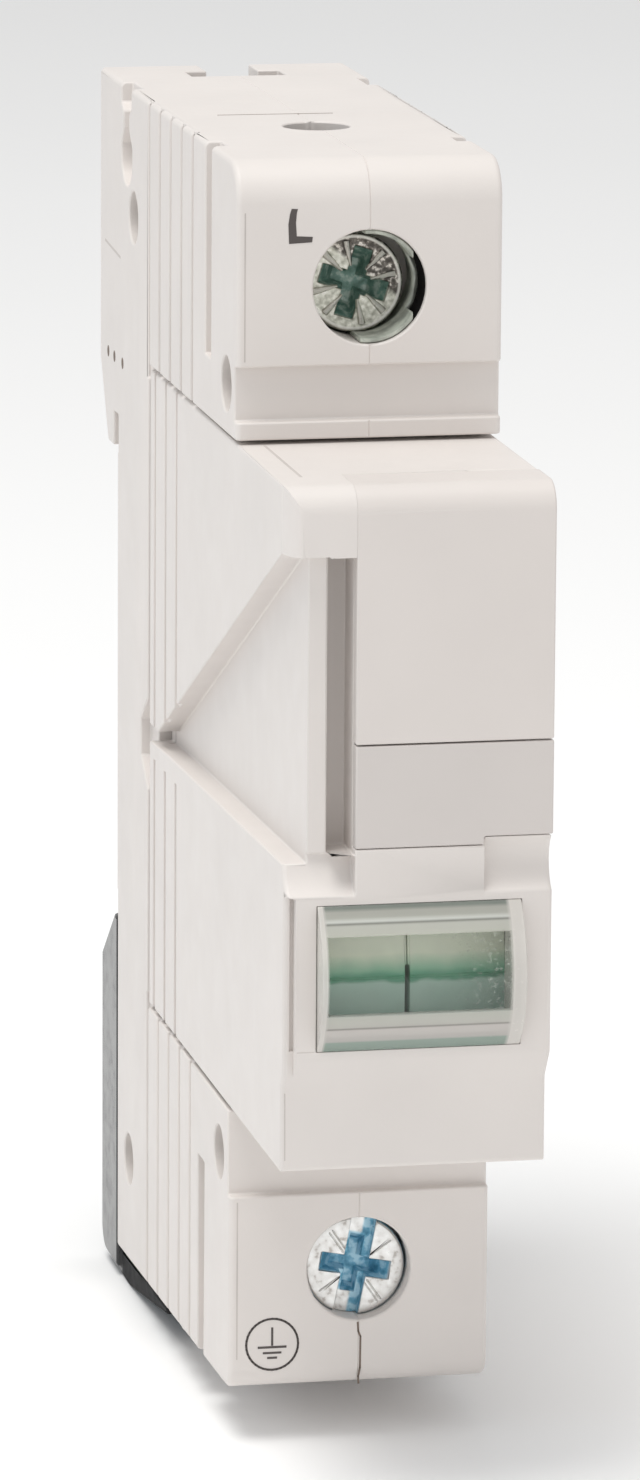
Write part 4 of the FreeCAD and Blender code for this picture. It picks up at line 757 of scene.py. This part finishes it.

# WINDOW LENS
# Clear polycarbonate, moulded in one piece, bowed outwards and held in the frame by its rim. Its
# thick top and bottom edges carry a painted reflection of pale bands and dark lines, its ends are
# painted pale, and the right side is scuffed.
LENS_TOP, LENS_BOTTOM = -2.88, -12.62
clear, tree, shader, place = nodes_of("clear lens with painted reflections")
x, _, z = places_of(tree, place)
# Pale bands and dark lines up the thick edges are a painted reflection.
lower_painted_bands = ((0.0, (0.30, 0.38, 0.33)), (0.07, (0.36, 0.45, 0.39)), (0.085, (0.60, 0.57, 0.54)),
               (0.17, (0.64, 0.60, 0.57)), (0.182, (0.26, 0.25, 0.23)), (0.194, (0.60, 0.59, 0.54)),
               (0.272, (0.58, 0.59, 0.53)), (0.285, (0.34, 0.37, 0.34)))
upper_painted_bands = ((0.80, (0.50, 0.54, 0.47)), (0.815, (0.56, 0.56, 0.50)), (0.882, (0.56, 0.56, 0.51)),
               (0.895, (0.22, 0.22, 0.20)), (0.908, (0.75, 0.76, 0.72)), (0.93, (0.52, 0.52, 0.47)),
               (0.965, (0.50, 0.50, 0.45)), (0.985, (0.25, 0.28, 0.25)))
painted_bands = ramp(tree, spread(tree, z, 0.0, 1.0, -12.6 * MM, -2.9 * MM), *lower_painted_bands, *upper_painted_bands)
edge = worked(tree, "MAXIMUM", spread(tree, z, 0.0, 1.0, -4.72 * MM, -4.62 * MM),
              spread(tree, z, 1.0, 0.0, -9.9 * MM, -9.8 * MM))
# The ends are painted pale and nearly opaque, a painted reflection.
ends = worked(tree, "MAXIMUM", spread(tree, x, 0.0, 1.0, 5.7 * MM, 5.95 * MM),
              spread(tree, x, 1.0, 0.0, -6.5 * MM, -6.3 * MM))
tree.links.new(blended(tree, ends, painted_bands, (0.72, 0.69, 0.65)), shader.inputs["Base Color"])
side_haze = worked(tree, "MULTIPLY", spread(tree, x, 0.0, 1.0, 1.0 * MM, 6.0 * MM),
                   spread(tree, noise(tree, place, 0.35 * MM, detail=8.0), 0.0, 1.0, 0.54, 0.72))
film = spread(tree, noise(tree, place, 1.5 * MM), 0.02, 0.07)
solid = worked(tree, "MAXIMUM", worked(tree, "MULTIPLY", edge, 0.7),
               worked(tree, "MULTIPLY", ends, 0.8))
solid = worked(tree, "MAXIMUM", solid, worked(tree, "MULTIPLY", side_haze, 0.6))
tree.links.new(worked(tree, "MAXIMUM", solid, film), shader.inputs["Alpha"])
tree.links.new(spread(tree, side_haze, 0.04, 0.4, 0.0, 1.0), shader.inputs["Roughness"])
shader.inputs["IOR"].default_value = 1.58
raise_grain(tree, shader, noise(tree, place, 0.5 * MM), 0.003 * MM)
rim = [(-60.9, LENS_BOTTOM), (-60.9, -13.0), (-60.3, -13.0), (-60.3, -2.65), (-60.9, -2.65),
       (-60.9, LENS_TOP)]
outside = [*bowed((FRONT, LENS_TOP), (FRONT, LENS_BOTTOM), 2.1, 24), *rim]
inside = [*bowed((FRONT, -3.8), (FRONT, -11.7), 1.65, 24), (-60.0, -11.7), (-60.0, -3.8)]
dome = prism("dome", outside, -6.8, 6.8, clear, "X")
carve(dome, prism("cutter", inside, -6.15, 6.15, clear, "X"))
dome = rewelded("window_lens_clear", dome, clear)
fix(roll_edges(dome, 0.06), "module", "lens_clear", "window_lens")

# FLAGS AND RED PLATE
# Two sliders moulded in green plastic stand behind the lens. When one drops, the red plate behind
# it shows instead. Their faces lean back above a fine groove. The upper half is painted pale, a
# painted highlight, and a dark line along the groove is painted shade.
FLAG_TOP, FLAG_BOTTOM = -4.6, -11.3
green, tree, shader, place = nodes_of("green flag with painted light and shade")
z = places_of(tree, place)["Z"]
height = worked(tree, "ADD", z, spread(tree, noise(tree, place, 2 * MM), -0.15 * MM, 0.15 * MM))
# The green is painted pale on the upper half, a painted highlight, and dark along the groove, a
# painted shade.
tone = ramp(
    tree, spread(tree, height, 0.0, 1.0, -10.9 * MM, FLAG_TOP * MM),
    (0.0, (0.56, 0.76, 0.67)), (0.30, (0.58, 0.80, 0.70)), (0.335, (0.16, 0.46, 0.30)),
    (0.39, (0.14, 0.46, 0.28)), (0.44, (0.34, 0.66, 0.46)), (0.52, (0.60, 0.80, 0.60)),
    (0.60, (0.90, 0.97, 0.78)), (0.74, (0.92, 0.97, 0.80)), (0.86, (0.78, 0.88, 0.70)),
    (1.0, (0.62, 0.80, 0.60)))
tree.links.new(tone, shader.inputs["Base Color"])
tree.links.new(spread(tree, noise(tree, place, 0.8 * MM), 0.3, 0.45), shader.inputs["Roughness"])
raise_grain(tree, shader, noise(tree, place, 0.25 * MM), 0.004 * MM)


def slider(side):
    """A flag with its arm, stem and nose. The side is -1 for the left one and 1 for the right."""
    def across(inner, outer):
        """Two distances from the middle as places from left to right."""
        return sorted((side * inner, side * outer))

    back = -57.0
    face = [(-58.05, FLAG_TOP), (back, FLAG_TOP), (back, FLAG_BOTTOM), (-58.6, FLAG_BOTTOM),
            (-58.7, -8.75), (-58.55, -8.68), (-58.66, -8.55)]
    brow = [(-58.05, FLAG_TOP), (back, FLAG_TOP), (back, -7.9), (-58.5, -7.9)]
    flag = prism("flag", face, *across(0.16, 6.6), green, "X")
    carve(flag, prism("brow", brow, *across(0.04, 3.0), green, "X"), "UNION")
    arm = (0.35, 1.55, -57.4, -52.9, -5.8, FLAG_TOP)
    stem = (0.35, 3.2, -55.0, -52.9, -5.8, 11.0)
    nose = (1.55, 3.2, -53.4, -50.6, 9.8, 11.0)
    for inner, outer, front, rear, low, high in (arm, stem, nose):
        part = prism("part", rect(*across(inner, outer), front, rear), low, high, green, "Z")
        carve(flag, part, "UNION")
    return flag


for name, side in (("left", -1), ("right", 1)):
    whole = rewelded(f"{name}_flag_green", slider(side), green)
    roll_edges(whole, 0.06)
    fix(whole, f"{name}_flag", "flag_green", f"trip_slider_{name}")

red, tree, shader, place = nodes_of("red plate")
z = places_of(tree, place)["Z"]
behind = worked(tree, "MULTIPLY", spread(tree, z, 0.0, 1.0, -10.75 * MM, -10.6 * MM),
                spread(tree, z, 1.0, 0.0, -5.0 * MM, -4.9 * MM))
reds = ramp(tree, noise(tree, place, 2 * MM),
            (0.3, (0.40, 0.02, 0.015)), (0.7, (0.58, 0.035, 0.025)))
greys = ramp(tree, noise(tree, place, 3 * MM), (0.3, (0.60, 0.57, 0.54)), (0.7, (0.66, 0.63, 0.60)))
tree.links.new(blended(tree, behind, greys, reds), shader.inputs["Base Color"])
tree.links.new(spread(tree, noise(tree, place, 1 * MM), 0.3, 0.45), shader.inputs["Roughness"])
raise_grain(tree, shader, noise(tree, place, 0.25 * MM), 0.004 * MM)
softened("red_plate_printed", "indicator_back", red, 0.06, "module", "flag_red")

# TRIP SPRINGS
# Two compression springs wound from fine steel wire stand on the sliders' noses. They press the
# sliders down when the solder lets the strips go.
nose_top, stop_under = 11.0, 21.0
for name, side in (("left", -1), ("right", 1)):
    middle = (side * 1.775, -53.95)
    spring = coil(f"{name}_trip_wire_spring", middle, 0.85, 0.18, nose_top, stop_under, 8,
                  wire_steel)
    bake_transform(spring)
    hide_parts(f"trip_spring_{name}")

# VARISTORS AND THEIR METAL
# Pressed zinc oxide blocks dipped in blue epoxy, with tinned electrodes, thin copper strips and
# plug-in blades.
epoxy = moulded("blue epoxy", (0.045, 0.12, 0.33), 0.6, (0.2, 0.4), grain=1.2 * MM, depth=0.05 * MM)
tinned = metal("tinned copper", (0.70, 0.66, 0.58), (0.25, 0.4), (0.52, 0.40, 0.30), 3 * MM)
for side in ("left", "right"):
    softened(f"{side}_varistor_dipped", f"varistor_{side}", epoxy, 0.5, "module", "varistor_coat")
    softened(f"{side}_electrode_tinned", f"electrode_{side}", tinned, 0.06, "module", "copper")
    softened(f"{side}_trip_strip_bent", f"trip_strip_{side}", copper, 0.06, "module", "copper")
softened("centre_electrode_tinned", "centre_electrode", tinned, 0.06, "module", "copper")
for level in ("upper", "lower"):
    softened(f"{level}_blade_tinned", f"{level}_blade", tinned, 0.1, "module", "copper")

# MARKS
# The terminal letter and the earth sign are printed in grey ink. The three dots are mould pin holes
# painted dark as their shade. The fine lines are seams in the plastic, but the dark line on the top
# paints the shade along a shallow step.
UPPER_FACE, LOWER_FACE, SIDE_FACE, BASE_TOP = -45.0, -43.7, -9.0, 43.5
ink = moulded("grey ink", (0.10, 0.085, 0.08), 0.75, (0.5, 0.7), grain=0.1 * MM)
dark_line = moulded("shaded line", (0.20, 0.15, 0.12), 0.8, (0.6, 0.8), grain=0.1 * MM)
faint_line = moulded("faint line", (0.62, 0.57, 0.54), 0.8, (0.6, 0.8), grain=0.1 * MM)


def stroke(points, width, closed=False):
    """The outline of a line of a given width through points, as quadrilaterals."""
    overlap = 0.6
    quads = []
    for first, last in zip(points, points[1:] + points[:1] if closed else points[1:]):
        first, last = Vector(first), Vector(last)
        along = (last - first).normalized() * width / 2
        aside = Vector((-along.y, along.x))
        first, last = first - along * overlap, last + along * overlap
        quads.append([first + aside, last + aside, last - aside, first - aside])
    return quads


def printed(name, quads, low, high, axis, material, body, slot_name):
    """Flat marks laid on a face."""
    marks = [prism("mark", [tuple(corner) for corner in quad], low, high, material, axis)
             for quad in quads]
    return fix(joined(name, marks), body, slot_name)


letter = [[(-5.33, 40.46), (-4.91, 40.44), (-4.98, 40.2), (-5.04, 39.5), (-4.98, 38.62),
           (-3.9, 38.56), (-3.95, 38.2), (-5.5, 38.12), (-5.55, 39.4), (-5.45, 40.1)]]
printed("letter_L", letter, UPPER_FACE - 0.02, UPPER_FACE + 0.05, "Y", ink, "base", "housing")


def ring(middle_across, middle_up, radius, count):
    """Points round a circle."""
    angles = [2 * math.pi * step / count for step in range(count)]
    return [(middle_across + radius * math.cos(angle), middle_up + radius * math.sin(angle))
            for angle in angles]


earth = stroke(ring(-6.0, -37.65, 1.8, 36), 0.15, True)
earth += stroke([(-6.0, -36.5), (-6.0, -37.7)], 0.15)
earth += stroke([(-6.95, -37.85), (-5.05, -37.85)], 0.16)
earth += stroke([(-6.6, -38.25), (-5.4, -38.25)], 0.15)
earth += stroke([(-6.3, -38.6), (-5.7, -38.6)], 0.15)
printed("earth_sign", earth, LOWER_FACE - 0.02, LOWER_FACE + 0.05, "Y", ink, "base", "housing")
for name, face, low, high in (("upper_border_line", UPPER_FACE, 30.3, 40.2),
                              ("lower_border_line", LOWER_FACE, -38.6, -27.6)):
    border = stroke([(-8.45, low), (-8.45, high)], 0.09)
    printed(name, border, face - 0.012, face + 0.03, "Y", faint_line, "base", "housing")
seam = stroke([(-0.06, -36.4), (-0.02, -37.0), (0.14, -37.4), (0.12, -39.6), (0.0, -40.2),
               (0.02, -40.7)], 0.13)
printed("seam_shadow", seam, LOWER_FACE - 0.012, LOWER_FACE + 0.03, "Y", dark_line, "base",
        "housing")
# A dark line on the top paints the shade along the edge of a shallow step.
step_shade_line = stroke([(-5.6, -20.2), (2.4, -20.3)], 0.16)
printed("top_step_shade", step_shade_line, BASE_TOP - 0.03, BASE_TOP + 0.01, "Z", dark_line, "base", "housing")
# Three dark dots paint the shade in small pin holes.
dots = [ring(depth, 23.4, 0.42, 12) for depth in (3.9, 1.4, -1.9)]
printed("side_dots", dots, SIDE_FACE - 0.005, SIDE_FACE + 0.03, "X", dark_line, "base", "housing")
slash = stroke([(5.2, 31.3), (-1.0, 30.9)], 0.2)
printed("side_slash", slash, SIDE_FACE - 0.005, SIDE_FACE + 0.03, "X", faint_line, "base",
        "housing")
top_seam = stroke([(-7.13, -45.3), (-7.1, -57.5)], 0.2)
printed("cover_seam_top", top_seam, TOP - 0.04, TOP + 0.005, "Z", faint_line, "module",
        "module_plastic")
frame_seam = stroke([(-8.1, -12.62), (-6.95, -12.62)], 0.06)
printed("frame_seam", frame_seam, FRONT - 0.005, FRONT + 0.03, "Y", faint_line, "module",
        "module_plastic")
chin_seam = stroke([(-8.62, -15.7), (-8.6, -20.2)], 0.07)
printed("cover_seam_front", chin_seam, CHIN - 0.005, CHIN + 0.04, "Y", faint_line, "module",
        "module_plastic")

# STUDIO
# A pale floor under the object, a soft white surround, one large soft light high on the left and
# two weaker ones, and the camera at the photograph's angle.
floor_level, floor_reach = cad_box[0][2], 6.0
floor = bmesh.new()
bmesh.ops.create_grid(floor, x_segments=1, y_segments=1, size=floor_reach)
floor_mesh = bpy.data.meshes.new("floor")
floor.to_mesh(floor_mesh)
floor.free()
floor_object = bpy.data.objects.new("floor", floor_mesh)
floor_object.location = (0, 0, floor_level)
bpy.context.scene.collection.objects.link(floor_object)
paper, tree, shader, place = nodes_of("pale paper")
tree.links.new(ramp(tree, noise(tree, place, 0.2), (0.3, (0.965,) * 3), (0.7, (0.98,) * 3)),
               shader.inputs["Base Color"])
shader.inputs["Roughness"].default_value = 0.9
floor_mesh.materials.append(paper)

world = bpy.data.worlds.new("studio")
world.use_nodes = True
surround = world.node_tree.nodes["Background"]
surround.inputs["Color"].default_value = (1, 1, 1, 1)
surround.inputs["Strength"].default_value = 0.61
bpy.context.scene.world = world


def soft_light(name, place, target, size, power, colour):
    """A square soft box turned towards a point."""
    data = bpy.data.lights.new(name, "AREA")
    data.color = colour
    data.shape = "SQUARE"
    data.size = size
    data.energy = power
    light = bpy.data.objects.new(name, data)
    light.location = place
    light.rotation_mode = "QUATERNION"
    light.rotation_quaternion = (Vector(target) - Vector(place)).to_track_quat("-Z", "Y")
    bpy.context.scene.collection.objects.link(light)


soft_light("key", (-0.22, -0.17, 0.88), (0, -0.02, 0), 0.45, 5.3, (1.0, 0.99, 0.965))
soft_light("fill", (0.4, -0.7, 0.3), (0, -0.02, 0), 0.6, 0.4, (1.0, 0.99, 0.97))
soft_light("side", (-0.7, -0.1, 0.3), (0, 0, 0), 0.5, 0.4, (0.6, 0.82, 1.0))

CAMERA_PLACE, FOCAL_LENGTH, SENSOR = (-0.1104, -0.5719, 0.1164), 199.46, 36
azimuth, elevation, roll = (math.radians(angle) for angle in (11.5, 11.75, 0.36))
back = Vector((-math.sin(azimuth) * math.cos(elevation), -math.cos(azimuth) * math.cos(elevation),
               math.sin(elevation)))
level = Vector((math.cos(azimuth), -math.sin(azimuth), 0))
upright = back.cross(level)
right = level * math.cos(roll) + upright * math.sin(roll)
up = upright * math.cos(roll) - level * math.sin(roll)
lens = bpy.data.cameras.new("camera")
lens.sensor_fit = "VERTICAL"
lens.sensor_width = SENSOR
lens.sensor_height = SENSOR
lens.lens = FOCAL_LENGTH
lens.clip_start = 0.01
camera = bpy.data.objects.new("camera", lens)
turned_by = Matrix((right, up, back)).transposed().to_4x4()
camera.matrix_world = Matrix.Translation(CAMERA_PLACE) @ turned_by
bpy.context.scene.collection.objects.link(camera)
bpy.context.scene.camera = camera
bpy.context.scene.view_settings.view_transform = "Standard"
